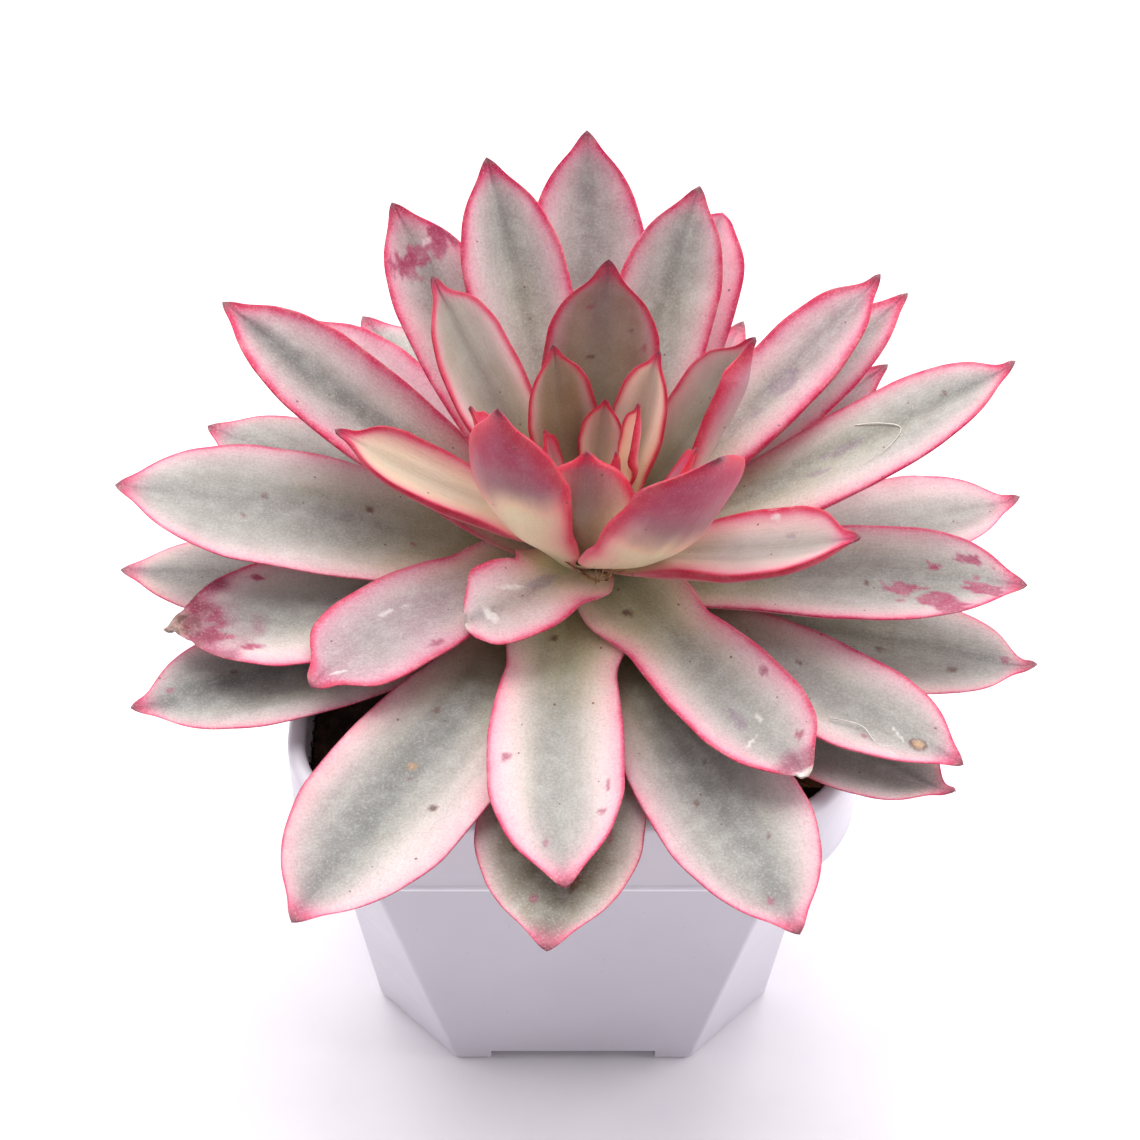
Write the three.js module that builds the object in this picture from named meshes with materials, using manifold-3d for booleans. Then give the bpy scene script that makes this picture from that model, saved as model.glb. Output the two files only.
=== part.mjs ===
// A variegated echeveria rosette, rooted in a square plastic nursery pot.
// Millimetres, +Z up. The pieces are drawn about the middle of the pot, and the whole is then moved
// level so that the origin is on the ground under the middle of its outline.
// Azimuth 0 is +X and 90 is +Y; the front of the plant is towards -Y.
import * as THREE from 'three';
import Module from 'manifold-3d';
import { mergeVertices } from 'three/addons/utils/BufferGeometryUtils.js';

// ---------- driving dimensions ----------
const GAP = 0.35; // between pieces that touch
const POT_HEIGHT = 87;
const RIM_HALF = 50; // half the width of the pot across its rim
const RIM_HEIGHT = 18.5;
const RIM_WALL = 3.2;
const RIM_RADIUS = 21; // corners of the rim, seen from above
const LIP = 1.8; // rounding of the rim's upper and lower edges
const WALL_TOP_HALF = 43.2;
const WALL_BASE_HALF = 38.4;
const CHAMFER_TOP = 6; // corner chamfers of the wall, under the rim
const CHAMFER_BASE = 15.6; // and at the ground
const WALL = 1.8;
const FLOOR_TOP = 5.2; // inside of the pot's floor
const NOTCH_WIDTH = 32; // gap between two feet
const NOTCH_HEIGHT = 3;
const DRAIN_RADIUS = 3.5;
const DRAIN_PLACE = 24; // from the middle, in the channels between the feet
const SOIL_TOP = 78; // at the pot's side; the soil is a little higher round the stem
const STEM_X = 2.5;
const STEM_Y = 1;
const STEM_FOOT = 64; // lowest point of the buried stem

const wasm = await Module();
wasm.setup();

const plant = new THREE.Group();

const finish = (color, roughness) => new THREE.MeshStandardMaterial({ color, roughness, metalness: 0 });
const PLASTIC = finish(0xe9e6ec, 0.42);
const POTTING_MIX = finish(0x3a2c24, 0.95);
const STEM_SKIN = finish(0x6f6a4c, 0.8);
const DRY = finish(0x8a5f3e, 0.85);
const GREEN_LEAF = finish(0x9ba79a, 0.6);
const PINK_LEAF = finish(0xd99aa8, 0.6);
const HEART_LEAF = finish(0xd8744f, 0.55);

function addMesh(name, geometry, material) {
  const mesh = new THREE.Mesh(geometry, material);
  mesh.name = name;
  plant.add(mesh);
  return mesh;
}

const radians = THREE.MathUtils.degToRad;
const mix = THREE.MathUtils.lerp;

// ---------- closed skins ----------

// A closed skin through loops of points, which all run the same way round, with a pole at each end.
function loft(firstPole, loops, lastPole) {
  const sides = loops[0].length;
  const points = [firstPole, ...loops.flat(), lastPole];
  const last = points.length - 1;
  const faces = [];
  const at = (ring, side) => 1 + ring * sides + (side % sides);
  for (let side = 0; side < sides; side += 1) {
    faces.push(0, at(0, side + 1), at(0, side));
    for (let ring = 0; ring + 1 < loops.length; ring += 1) {
      faces.push(at(ring, side), at(ring, side + 1), at(ring + 1, side + 1));
      faces.push(at(ring, side), at(ring + 1, side + 1), at(ring + 1, side));
    }
    faces.push(last, at(loops.length - 1, side), at(loops.length - 1, side + 1));
  }
  const geometry = new THREE.BufferGeometry().setFromPoints(points);
  geometry.setIndex(faces);
  geometry.computeVertexNormals();
  return geometry;
}

function toSolid(geometry) {
  const bare = geometry.clone();
  bare.deleteAttribute('normal');
  bare.deleteAttribute('uv');
  const merged = mergeVertices(bare, 1e-4);
  return new wasm.Manifold(new wasm.Mesh({
    numProp: 3,
    vertProperties: Float32Array.from(merged.attributes.position.array),
    triVerts: Uint32Array.from(merged.index.array),
  }));
}

function toGeometry(solid) {
  const mesh = solid.getMesh();
  const geometry = new THREE.BufferGeometry();
  geometry.setAttribute('position', new THREE.BufferAttribute(Float32Array.from(mesh.vertProperties), 3));
  geometry.setIndex(new THREE.BufferAttribute(Uint32Array.from(mesh.triVerts), 1));
  geometry.computeVertexNormals();
  return geometry;
}

// ---------- pot and soil ----------

const CORNER_STEPS = 6;
// place along a chamfer, from 0 to 1, and how far its ends are eased inwards
const CHAMFER_STEPS = [[0, 0], [0.06, 0.1], [0.2, 0], [0.5, 0], [0.8, 0], [0.94, 0.1], [1, 0]];

// A level square loop with rounded corners. Where a chamfer is given, each corner is a flat with soft ends.
function squareLoop(half, radius, height, chamfer = 0) {
  const loop = [];
  for (let corner = 0; corner < 4; corner += 1) {
    const turn = corner * Math.PI / 2;
    for (let step = 0; step <= CORNER_STEPS; step += 1) {
      const angle = (step / CORNER_STEPS) * Math.PI / 2;
      let x = half - radius + radius * Math.cos(angle);
      let y = half - radius + radius * Math.sin(angle);
      if (chamfer) {
        const [along, ease] = CHAMFER_STEPS[step];
        x = half - chamfer * along - (along < 0.5 ? ease : 0);
        y = half - chamfer * (1 - along) - (along > 0.5 ? ease : 0);
      }
      loop.push(new THREE.Vector3(
        x * Math.cos(turn) - y * Math.sin(turn),
        x * Math.sin(turn) + y * Math.cos(turn),
        height,
      ));
    }
  }
  return loop;
}

const RIM_FOOT = POT_HEIGHT - RIM_HEIGHT;
const LEDGE = RIM_FOOT + 2.2; // inside shoulder where the wall steps out into the rim

// The tapered wall at a height, drawn in by an even inset all round.
function wallLoop(height, inset) {
  const share = height / RIM_FOOT;
  const half = mix(WALL_BASE_HALF, WALL_TOP_HALF, share) - inset;
  const chamfer = mix(CHAMFER_BASE, CHAMFER_TOP, share) - inset * (2 - Math.SQRT2);
  return squareLoop(half, 0, height, chamfer);
}

function rimLoop(inset, height) {
  return squareLoop(RIM_HALF - inset, RIM_RADIUS - inset, height);
}

function makePot() {
  const loops = [
    wallLoop(0, 1),
    wallLoop(0.3, 0.3),
    wallLoop(1.2, 0),
    wallLoop(RIM_FOOT, 0),
    rimLoop(2.2, RIM_FOOT),
    rimLoop(0.6, RIM_FOOT + 0.4),
    rimLoop(0, RIM_FOOT + LIP),
    rimLoop(0, POT_HEIGHT - LIP),
    rimLoop(0.5, POT_HEIGHT - 0.5),
    rimLoop(1.6, POT_HEIGHT),
    rimLoop(RIM_WALL - 0.6, POT_HEIGHT - 0.5),
    rimLoop(RIM_WALL, POT_HEIGHT - LIP),
    rimLoop(RIM_WALL, LEDGE + 0.6),
    rimLoop(RIM_WALL + 1, LEDGE),
    wallLoop(RIM_FOOT, WALL).map((p) => p.setZ(LEDGE)),
    wallLoop(FLOOR_TOP, WALL),
  ];
  let solid = toSolid(loft(
    new THREE.Vector3(0, 0, 0),
    loops,
    new THREE.Vector3(0, 0, FLOOR_TOP),
  ));
  const channel = new THREE.BoxGeometry(NOTCH_WIDTH, 4 * RIM_HALF, 2 * NOTCH_HEIGHT);
  const crossChannel = new THREE.BoxGeometry(4 * RIM_HALF, NOTCH_WIDTH, 2 * NOTCH_HEIGHT);
  solid = solid.subtract(toSolid(channel)).subtract(toSolid(crossChannel));
  for (const azimuth of [0, 90, 180, 270]) {
    const drain = new THREE.CylinderGeometry(DRAIN_RADIUS, DRAIN_RADIUS, 4 * FLOOR_TOP, 12);
    drain.rotateX(Math.PI / 2);
    drain.translate(
      DRAIN_PLACE * Math.cos(radians(azimuth)),
      DRAIN_PLACE * Math.sin(radians(azimuth)),
      0,
    );
    solid = solid.subtract(toSolid(drain));
  }
  return toGeometry(solid);
}

// Height and radius of the stem: thick at the soil, drawn in to the growing point.
const STEM_END = 5; // radius at the buried end
const STEM_SHOULDER = 70; // where the buried end reaches its full radius
const STEM_RADIUS = 8.5;
const STEM_PROFILE = [
  [STEM_FOOT, STEM_END],
  [STEM_SHOULDER, STEM_RADIUS],
  [86, STEM_RADIUS],
  [100, 7.4],
  [106, 5.6],
  [111, 3.2],
  [113.5, 1.4],
];

function stemRadius(height) {
  const next = STEM_PROFILE.findIndex(([z]) => z >= height);
  if (next < 0) return STEM_PROFILE.at(-1)[1];
  if (next === 0) return STEM_PROFILE[0][1];
  const [z0, r0] = STEM_PROFILE[next - 1];
  const [z1, r1] = STEM_PROFILE[next];
  return mix(r0, r1, (height - z0) / (z1 - z0));
}

// A level ring about the stem. It starts half a step on, as the points of a squareLoop lie about its corners.
function roundLoop(radius, height, sides) {
  return Array.from({ length: sides }, (_, side) => {
    const angle = ((side + 0.5) / sides) * 2 * Math.PI;
    return new THREE.Vector3(
      STEM_X + radius * Math.cos(angle),
      STEM_Y + radius * Math.sin(angle),
      height,
    );
  });
}

// The soil fills the pot to its inside, and has a blind hole for the buried end of the stem.
function makeSoil() {
  const hole = (radius, height) => roundLoop(radius + GAP, height, 4 * (CORNER_STEPS + 1));
  const moundLoop = (half, height) => squareLoop(half, half * 0.6, height);
  const crown = SOIL_TOP + 1;
  return loft(
    new THREE.Vector3(0, 0, FLOOR_TOP + GAP),
    [
      wallLoop(FLOOR_TOP + GAP, WALL + GAP),
      wallLoop(RIM_FOOT, WALL + GAP).map((p) => p.setZ(LEDGE + GAP)),
      rimLoop(RIM_WALL + 1 + GAP, LEDGE + GAP),
      rimLoop(RIM_WALL + GAP, LEDGE + 1.2),
      rimLoop(RIM_WALL + GAP, SOIL_TOP - 1.5),
      rimLoop(RIM_WALL + 2, SOIL_TOP - 0.6),
      moundLoop(30, SOIL_TOP + 0.6),
      moundLoop(17, crown),
      hole(STEM_RADIUS, crown),
      hole(STEM_RADIUS, STEM_SHOULDER),
      hole(STEM_END, STEM_FOOT - GAP),
    ],
    new THREE.Vector3(STEM_X, STEM_Y, STEM_FOOT - GAP),
  );
}

function makeStem() {
  const sides = 16;
  const loops = STEM_PROFILE.map(([height, radius]) => roundLoop(radius, height, sides));
  return loft(
    new THREE.Vector3(STEM_X, STEM_Y, STEM_FOOT),
    loops,
    new THREE.Vector3(STEM_X, STEM_Y, STEM_PROFILE.at(-1)[0] + 0.6),
  );
}

// ---------- leaves ----------

const LEAF_STATIONS = [0, 0.1, 0.24, 0.4, 0.56, 0.7, 0.82, 0.92, 0.98];
const SECTION = [-1, -0.6, 0, 0.6, 1, 0.6, 0, -0.6]; // across the leaf, over its top and back underneath
const TOP_SHARE = 0.3; // of the thickness that lies above the middle surface
const BASE_WIDTH = 0.33; // of the full width, where the leaf joins the stem
const LEAF_DEFAULTS = {
  bend: 12, // degrees by which the leaf turns upwards from base to tip
  sweep: 0, // degrees by which it turns sideways, anticlockwise seen from above
  roll: 0, // degrees about its own length, left side up
  fold: 24, // slope of the margins, in degrees
  widest: 0.63, // place of the full width, from 0 at the base to 1 at the tip
  thickness: 4,
  blunt: 0, // 1 gives an end that is cut off square
};

// Width as a share of the full width.
function widthAt(along, { widest, blunt }) {
  if (along < widest) {
    return mix(BASE_WIDTH, 1, Math.sin((Math.PI / 2) * (along / widest) ** 0.9));
  }
  const q = (along - widest) / (1 - widest);
  const pointed = (1 - q ** 2.3) ** 0.88;
  const cutOff = (1 - q ** 6) ** 0.8;
  return mix(pointed, cutOff, blunt);
}

const thicknessAt = (along) => Math.min(0.5 + 2.2 * along, 1) * (1 - 0.62 * Math.max(0, along - 0.4) / 0.6);

// A leaf's long axis is an arc: azimuth and rise give the straight line from its base to its tip.
function makeLeaf(start, azimuth, rise, length, width, shape) {
  const { bend, sweep, roll, fold, thickness } = shape;
  const heading = (along) => {
    const lift = radians(rise + bend * (along - 0.5));
    const turn = radians(azimuth + sweep * (along - 0.5));
    return [
      new THREE.Vector3(Math.cos(lift) * Math.cos(turn), Math.cos(lift) * Math.sin(turn), Math.sin(lift)),
      new THREE.Vector3(-Math.sin(turn), Math.cos(turn), 0),
    ];
  };
  const steps = 50;
  const point = start.clone();
  const axis = [point.clone()];
  for (let step = 0; step < steps; step += 1) {
    const [forward] = heading((step + 0.5) / steps);
    point.addScaledVector(forward, length / steps);
    axis.push(point.clone());
  }
  const axisAt = (along) => {
    const place = along * steps;
    const below = Math.min(Math.floor(place), steps - 1);
    return axis[below].clone().lerp(axis[below + 1], place - below);
  };
  const foldTurn = Math.max(radians(fold), 0.01);
  const loops = LEAF_STATIONS.map((along) => {
    const [forward, left] = heading(along);
    const up = new THREE.Vector3().crossVectors(forward, left);
    const tilt = radians(roll) * Math.min(1, along / 0.35);
    left.applyAxisAngle(forward, tilt);
    up.applyAxisAngle(forward, tilt);
    const half = width * widthAt(along, shape) / 2;
    const thick = thickness * thicknessAt(along) * Math.min(1, widthAt(along, shape) * 1.4);
    const curl = foldTurn * Math.min(1, 0.25 + along * 2);
    const centre = axisAt(along);
    return SECTION.map((across, side) => {
      const onTop = side > 0 && side < 4;
      const under = side > 4;
      const swell = Math.sqrt(1 - across * across);
      const depth = thick * swell * ((onTop && TOP_SHARE) || (under && TOP_SHARE - 1) || 0);
      const angle = curl * across;
      const out = half * Math.sin(angle) / curl - depth * Math.sin(angle);
      const rising = half * (1 - Math.cos(angle)) / curl + depth * Math.cos(angle);
      return centre.clone().addScaledVector(left, -out).addScaledVector(up, rising);
    });
  });
  return loft(axisAt(0), loops, axisAt(1));
}

// name, azimuth, base height, rise, length, width, and what differs from LEAF_DEFAULTS
const LOWER_LEAVES = [
  ['lower_leaf_front', 265, 88.5, 1, 70, 29, { bend: 0, fold: 14, thickness: 3.2 }],
  ['lower_leaf_front_right', 294, 92.5, -1, 75, 27, { bend: -4, fold: 14, thickness: 3.2 }],
  ['lower_leaf_right_front', 322, 88.4, 3, 70, 22, { fold: 12, thickness: 2.8 }],
  ['lower_leaf_right', 346, 91, 1, 73, 24, { bend: 4, fold: 16, thickness: 3.2 }],
  ['lower_leaf_right_rear', 11, 94.5, 4, 73, 23, { thickness: 3.2 }],
  ['lower_leaf_rear_right', 31, 95.5, 21, 60, 15, {}],
  ['lower_leaf_rear_inner', 59, 90, 26, 54, 15, {}],
  ['lower_leaf_rear_left', 128, 95, 14, 63, 20, {}],
  ['lower_leaf_left_rear', 156, 92.2, 9, 70, 24, { thickness: 3 }],
  ['lower_leaf_left', 176, 88.2, 2, 77, 22, { bend: 2, fold: 8, thickness: 3 }],
  ['lower_leaf_left_front', 200, 91.8, 0, 76, 26, { bend: 4, fold: 14, thickness: 3 }],
  ['lower_leaf_front_left', 237, 93.6, -1.5, 80, 30, { bend: -2, fold: 14, thickness: 3.2 }],
];
const MIDDLE_LEAVES = [
  ['middle_leaf_front', 268, 98.5, -4, 62, 24, { bend: -4, sweep: 20, thickness: 3.4 }],
  ['middle_leaf_front_right', 325, 95.5, 0, 69, 22, { bend: 0, thickness: 3.4 }],
  ['middle_leaf_right', 351, 98.4, 6, 70, 24, { bend: 4, thickness: 3.4 }],
  ['middle_leaf_right_rear', 33, 97.8, 28, 69, 16, { thickness: 3.4 }],
  ['middle_leaf_rear_right', 65, 93, 41, 66, 18, { blunt: 0.8 }],
  ['middle_leaf_rear', 90, 97, 44, 74, 23, {}],
  ['middle_leaf_rear_left', 128, 102.6, 41, 65, 21, {}],
  ['middle_leaf_left_rear', 142, 98.5, 20, 64, 22, { thickness: 3.2 }],
  ['middle_leaf_left', 175, 96.7, 10, 78, 30, { bend: 8, sweep: 12, fold: 12, thickness: 3.2 }],
  ['middle_leaf_left_front', 192, 95, 3, 68, 27, { bend: 4, fold: 14, thickness: 3 }],
];
const UPPER_LEAVES = [
  ['upper_leaf_front_right', 306, 100, -1, 54, 22, { bend: 0, blunt: 0.3, thickness: 3.4 }],
  ['upper_leaf_right', 7, 100.5, 30, 76, 21, { fold: 12 }],
  ['upper_leaf_right_rear', 32, 102, 34, 65, 18, {}],
  ['upper_leaf_rear_right', 67, 103, 45, 62, 20, {}],
  ['upper_leaf_rear_left', 111, 104.8, 49, 65, 20, {}],
  ['upper_leaf_left_rear', 155, 100.5, 28, 72, 21, { bend: 14, fold: 26, roll: -6 }],
  ['upper_leaf_left_front', 214, 100.5, -1.5, 49, 22,
    { bend: -12, sweep: 24, fold: 10, blunt: 0.4, thickness: 3 }],
  ['upper_leaf_front_short', 216, 103.8, 1, 24, 20, { bend: -30, sweep: -56, blunt: 0.8, thickness: 3 }],
];
const INNER_LEAVES = [
  ['inner_leaf_left', 171, 106.2, 26, 43, 15.2, { bend: 26, fold: 44, thickness: 3.2 }],
  ['inner_leaf_rear_left', 145, 107.5, 58, 50, 18.4, { bend: 20, thickness: 3 }],
  ['inner_leaf_rear', 82, 107.4, 64, 45, 22, { bend: 20, thickness: 3 }],
  ['inner_leaf_rear_right', 25, 105.5, 55, 43, 17, { bend: 20, fold: 60 }],
  ['inner_leaf_right', 336, 104, 27, 48, 17, { bend: 20, fold: 42, roll: -12 }],
  ['inner_leaf_front_right', 322, 105.8, 59, 46, 21, { bend: 30, sweep: 40, fold: 30, roll: -34 }],
  ['inner_leaf_front_left', 219, 105.4, 74, 44, 20, { bend: 30, fold: 32, roll: 26, thickness: 3.4 }],
];
const HEART_LEAVES = [
  ['heart_leaf_1', 184, 108.5, 64, 33, 11, { bend: 20, thickness: 2.4 }],
  ['heart_leaf_2', 345, 107, 63, 28, 10, { bend: 20, thickness: 2.6 }],
  ['heart_leaf_3', 42, 108.6, 71, 33, 13, { bend: 20, thickness: 2.6 }],
  ['heart_leaf_4', 116, 109, 75, 32, 14, { bend: 20, thickness: 2.6 }],
  ['heart_leaf_5', 268, 107.5, 90, 25, 18, { bend: 20, widest: 0.72, thickness: 3 }],
  ['heart_leaf_6', 14, 111, 80, 25, 7, { bend: 20, fold: 55, thickness: 2 }],
  ['heart_leaf_7', 70, 111.5, 76, 20, 9, { bend: 20, thickness: 2 }],
  ['heart_leaf_8', 156, 112, 75, 17, 5.5, { bend: 16, thickness: 1.6 }],
  ['heart_leaf_9', 330, 112, 84, 17, 5, { bend: 10, thickness: 1.6 }],
];
// A fallen leaf, dried and curled, that lies on the soil in the front right corner of the pot.
const DRY_LEAF_START = new THREE.Vector3(43.5, -36, 82);
const DRY_LEAF_SHAPE = { ...LEAF_DEFAULTS, bend: 30, fold: 50, thickness: 1.4, blunt: 0.5 };

// Where a leaf leaves the stem: it grows straight out from the stem's skin.
function onStem(azimuth, height, rise, shape) {
  const lift = radians(rise - shape.bend / 2);
  const turn = radians(azimuth - shape.sweep / 2);
  const reach = stemRadius(height - 0.5) + GAP + Math.abs(TOP_SHARE * shape.thickness * Math.sin(lift));
  return new THREE.Vector3(STEM_X + reach * Math.cos(turn), STEM_Y + reach * Math.sin(turn), height);
}

function addLeaves(rows, material) {
  for (const [name, azimuth, height, rise, length, width, differs] of rows) {
    const shape = { ...LEAF_DEFAULTS, ...differs };
    const start = onStem(azimuth, height, rise, shape);
    addMesh(name, makeLeaf(start, azimuth, rise, length, width, shape), material);
  }
}

addMesh('pot', makePot(), PLASTIC);
addMesh('soil', makeSoil(), POTTING_MIX);
addMesh('stem', makeStem(), STEM_SKIN);
addLeaves(LOWER_LEAVES, GREEN_LEAF);
addLeaves(MIDDLE_LEAVES, GREEN_LEAF);
addLeaves(UPPER_LEAVES, GREEN_LEAF);
addLeaves(INNER_LEAVES, PINK_LEAF);
addLeaves(HEART_LEAVES, HEART_LEAF);
addMesh('dry_leaf', makeLeaf(DRY_LEAF_START, 150, -8, 17, 8, DRY_LEAF_SHAPE), DRY);

const outline = new THREE.Box3().setFromObject(plant);
const middle = outline.getCenter(new THREE.Vector3());
plant.position.set(-middle.x, -middle.y, 0);

export default plant;
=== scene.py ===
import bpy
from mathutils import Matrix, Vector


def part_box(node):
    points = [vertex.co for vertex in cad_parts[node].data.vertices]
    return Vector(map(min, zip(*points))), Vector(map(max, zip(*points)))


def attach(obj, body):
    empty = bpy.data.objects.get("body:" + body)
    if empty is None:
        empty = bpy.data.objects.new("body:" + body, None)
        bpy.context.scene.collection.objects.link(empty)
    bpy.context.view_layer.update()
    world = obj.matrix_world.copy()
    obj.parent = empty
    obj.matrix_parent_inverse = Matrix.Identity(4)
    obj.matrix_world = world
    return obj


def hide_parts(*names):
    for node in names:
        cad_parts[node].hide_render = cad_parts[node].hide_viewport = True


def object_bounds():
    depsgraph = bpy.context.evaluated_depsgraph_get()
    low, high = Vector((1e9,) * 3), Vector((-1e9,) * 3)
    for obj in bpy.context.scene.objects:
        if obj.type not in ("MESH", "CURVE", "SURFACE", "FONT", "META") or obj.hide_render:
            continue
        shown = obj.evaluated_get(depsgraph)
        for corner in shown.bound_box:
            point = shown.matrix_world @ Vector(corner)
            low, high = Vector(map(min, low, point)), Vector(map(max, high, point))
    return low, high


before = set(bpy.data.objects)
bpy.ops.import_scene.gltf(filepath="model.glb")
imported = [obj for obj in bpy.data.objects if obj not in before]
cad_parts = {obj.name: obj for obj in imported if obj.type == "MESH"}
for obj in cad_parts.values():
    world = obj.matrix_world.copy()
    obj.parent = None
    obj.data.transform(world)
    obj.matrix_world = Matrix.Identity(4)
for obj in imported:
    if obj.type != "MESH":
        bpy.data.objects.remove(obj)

import zlib
from math import atan, cos, hypot, pi, radians, sin, sqrt, tan

import bmesh
import bpy
import numpy as np
from mathutils import Vector

cad_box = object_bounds()

MM = 0.001
POT_LOW, POT_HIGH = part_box("pot")
POT_MIDDLE = (POT_LOW + POT_HIGH) / 2
GROUND = POT_LOW.z
STEM_LOW, STEM_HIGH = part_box("stem")
STEM_AXIS = np.array([(STEM_LOW.x + STEM_HIGH.x) / 2, (STEM_LOW.y + STEM_HIGH.y) / 2])


# ---------- meshes ----------

def new_object(name, points, faces, smooth=True):
    mesh = bpy.data.meshes.new(name)
    mesh.from_pydata([tuple(p) for p in points], [], [tuple(int(i) for i in f) for f in faces])
    mesh.validate()
    mesh.update()
    mesh.polygons.foreach_set("use_smooth", [smooth] * len(mesh.polygons))
    obj = bpy.data.objects.new(name, mesh)
    bpy.context.scene.collection.objects.link(obj)
    return obj


def screen_to_light(c):
    """Screen colour values from 0 to 1 as linear light."""
    return np.where(c <= 0.04045, c / 12.92, ((c + 0.055) / 1.055) ** 2.4)


def add_colour(obj, colour):
    """Gives each vertex its colour, from screen values, as the attribute paint."""
    linear = screen_to_light(np.clip(colour, 0, 1))
    rgba = np.concatenate([linear, np.ones((len(linear), 1))], axis=1).astype(np.float32)
    obj.data.color_attributes.new("paint", "FLOAT_COLOR", "POINT").data.foreach_set("color", rgba.ravel())


def add_place(obj, place):
    """Gives each vertex its place on the flattened leaf, in metres, as the attribute place."""
    triples = np.asarray(place, dtype=np.float32)
    obj.data.attributes.new("place", "FLOAT_VECTOR", "POINT").data.foreach_set("vector", triples.ravel())


def smoothstep(low, high, x):
    t = np.clip((x - low) / (high - low), 0, 1)
    return t * t * (3 - 2 * t)


def bell(x, width):
    return np.exp(-((x / width) ** 2))


def full_turn(count):
    return np.linspace(0, 2 * pi, count, endpoint=False)


def hashed(cells, seed):
    """Repeatable numbers from 0 to 1 for integer cells, an array of shape (..., 3)."""
    n = cells[..., 0] * 374761393 + cells[..., 1] * 668265263 + cells[..., 2] * 2147483647 + seed * 974634777
    n = (n ^ (n >> 13)) * 1274126177
    return ((n ^ (n >> 16)) & 0xFFFFFF) / 0xFFFFFF


def noise(points, scale, seed):
    """Smooth noise from -1 to 1. The scale is the size of one cell, in the units of the points."""
    p = np.asarray(points, float) / scale
    base = np.floor(p).astype(np.int64)
    part = p - base
    part = part * part * (3 - 2 * part)
    total = np.zeros(len(p))
    for corner in range(8):
        step = np.array([corner & 1, (corner >> 1) & 1, (corner >> 2) & 1])
        weight = np.prod(np.where(step, part, 1 - part), axis=1)
        total += weight * hashed(base + step, seed)
    return 2 * total - 1


# ---------- leaves, rebuilt finely on their CAD nodes ----------

STATIONS = np.array([0, 0.1, 0.24, 0.4, 0.56, 0.7, 0.82, 0.92, 0.98, 1])  # of a CAD leaf's rings, along it
SIDES = 8  # points in each of its rings
TOP_SHARE = 0.3  # share of a leaf's thickness that lies above its margins
ROW_STEP, COLUMN_STEP = 0.62, 0.6  # mm between the points of a visual leaf
THINNEST = 0.7 * MM
SINK = 2.6 * MM  # how far a leaf's base runs on into the stem
WELD = 2e-6  # points of a CAD leaf that are this close are one


def welded(node):
    """The points of a CAD node and, for each, the points that share an edge with it."""
    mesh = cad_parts[node].data
    co = np.empty(len(mesh.vertices) * 3)
    mesh.vertices.foreach_get("co", co)
    keys, index = np.unique(np.round(co.reshape(-1, 3) / WELD).astype(np.int64), axis=0, return_inverse=True)
    index = index.ravel()
    points = np.zeros((len(keys), 3))
    points[index] = co.reshape(-1, 3)
    near = [set() for _ in keys]
    for edge in mesh.edges:
        a, b = index[edge.vertices[0]], index[edge.vertices[1]]
        if a != b:
            near[a].add(b)
            near[b].add(a)
    return points, near


def leaf_rings(node):
    """A leaf's base point, its rings of points from base to tip, and its tip."""
    points, near = welded(node)
    poles = [i for i in range(len(points)) if len(near[i]) == SIDES]
    best = None
    for pole in poles:
        seen, rings, front = {pole}, [], {pole}
        while True:
            front = set().union(*(near[i] for i in front)) - seen
            if not front:
                break
            seen |= front
            rings.append(sorted(front))
        if [len(r) for r in rings] == [SIDES] * (len(STATIONS) - 1) + [1]:
            best = (pole, rings) if best is None else best
            ends = (pole, rings[-1][0])
            reach = [np.hypot(*(points[e][:2] - STEM_AXIS)) + abs(points[e][2] - STEM_LOW.z) for e in ends]
            if reach[0] < reach[1]:
                best = (pole, rings)
    if best is None:
        raise ValueError(f"{node} has {len(points)} points and {len(poles)} poles, which isn't a leaf")
    pole, rings = best
    return points[pole], [points[r] for r in rings[:-1]], points[rings[-1][0]]


def through(at, values, x, clamp=False):
    """A smooth curve through values at the stations `at`. With clamp, it never overshoots them."""
    values = np.asarray(values, float)
    flat = values.ndim == 1
    values = values[:, None] if flat else values
    step = np.diff(at)
    rate = np.diff(values, axis=0) / step[:, None]
    slope = np.empty_like(values)
    slope[1:-1] = (rate[:-1] * step[1:, None] + rate[1:] * step[:-1, None]) / (step[1:] + step[:-1])[:, None]
    slope[0], slope[-1] = rate[0], rate[-1]
    if clamp:
        same = rate[:-1] * rate[1:] > 0
        harmonic = 2 * rate[:-1] * rate[1:] / np.where(same, rate[:-1] + rate[1:], 1)
        slope[1:-1] = np.where(same, harmonic, 0)
    k = np.clip(np.searchsorted(at, x, side="right") - 1, 0, len(at) - 2)
    h = step[k][:, None]
    u = ((x - at[k]) / step[k])[:, None]
    out = (
        values[k] * (1 + 2 * u) * (1 - u) ** 2
        + slope[k] * h * u * (1 - u) ** 2
        + values[k + 1] * u * u * (3 - 2 * u)
        - slope[k + 1] * h * u * u * (1 - u)
    )
    return out[:, 0] if flat else out


def unit(v):
    return v / np.linalg.norm(v, axis=-1, keepdims=True)


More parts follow.
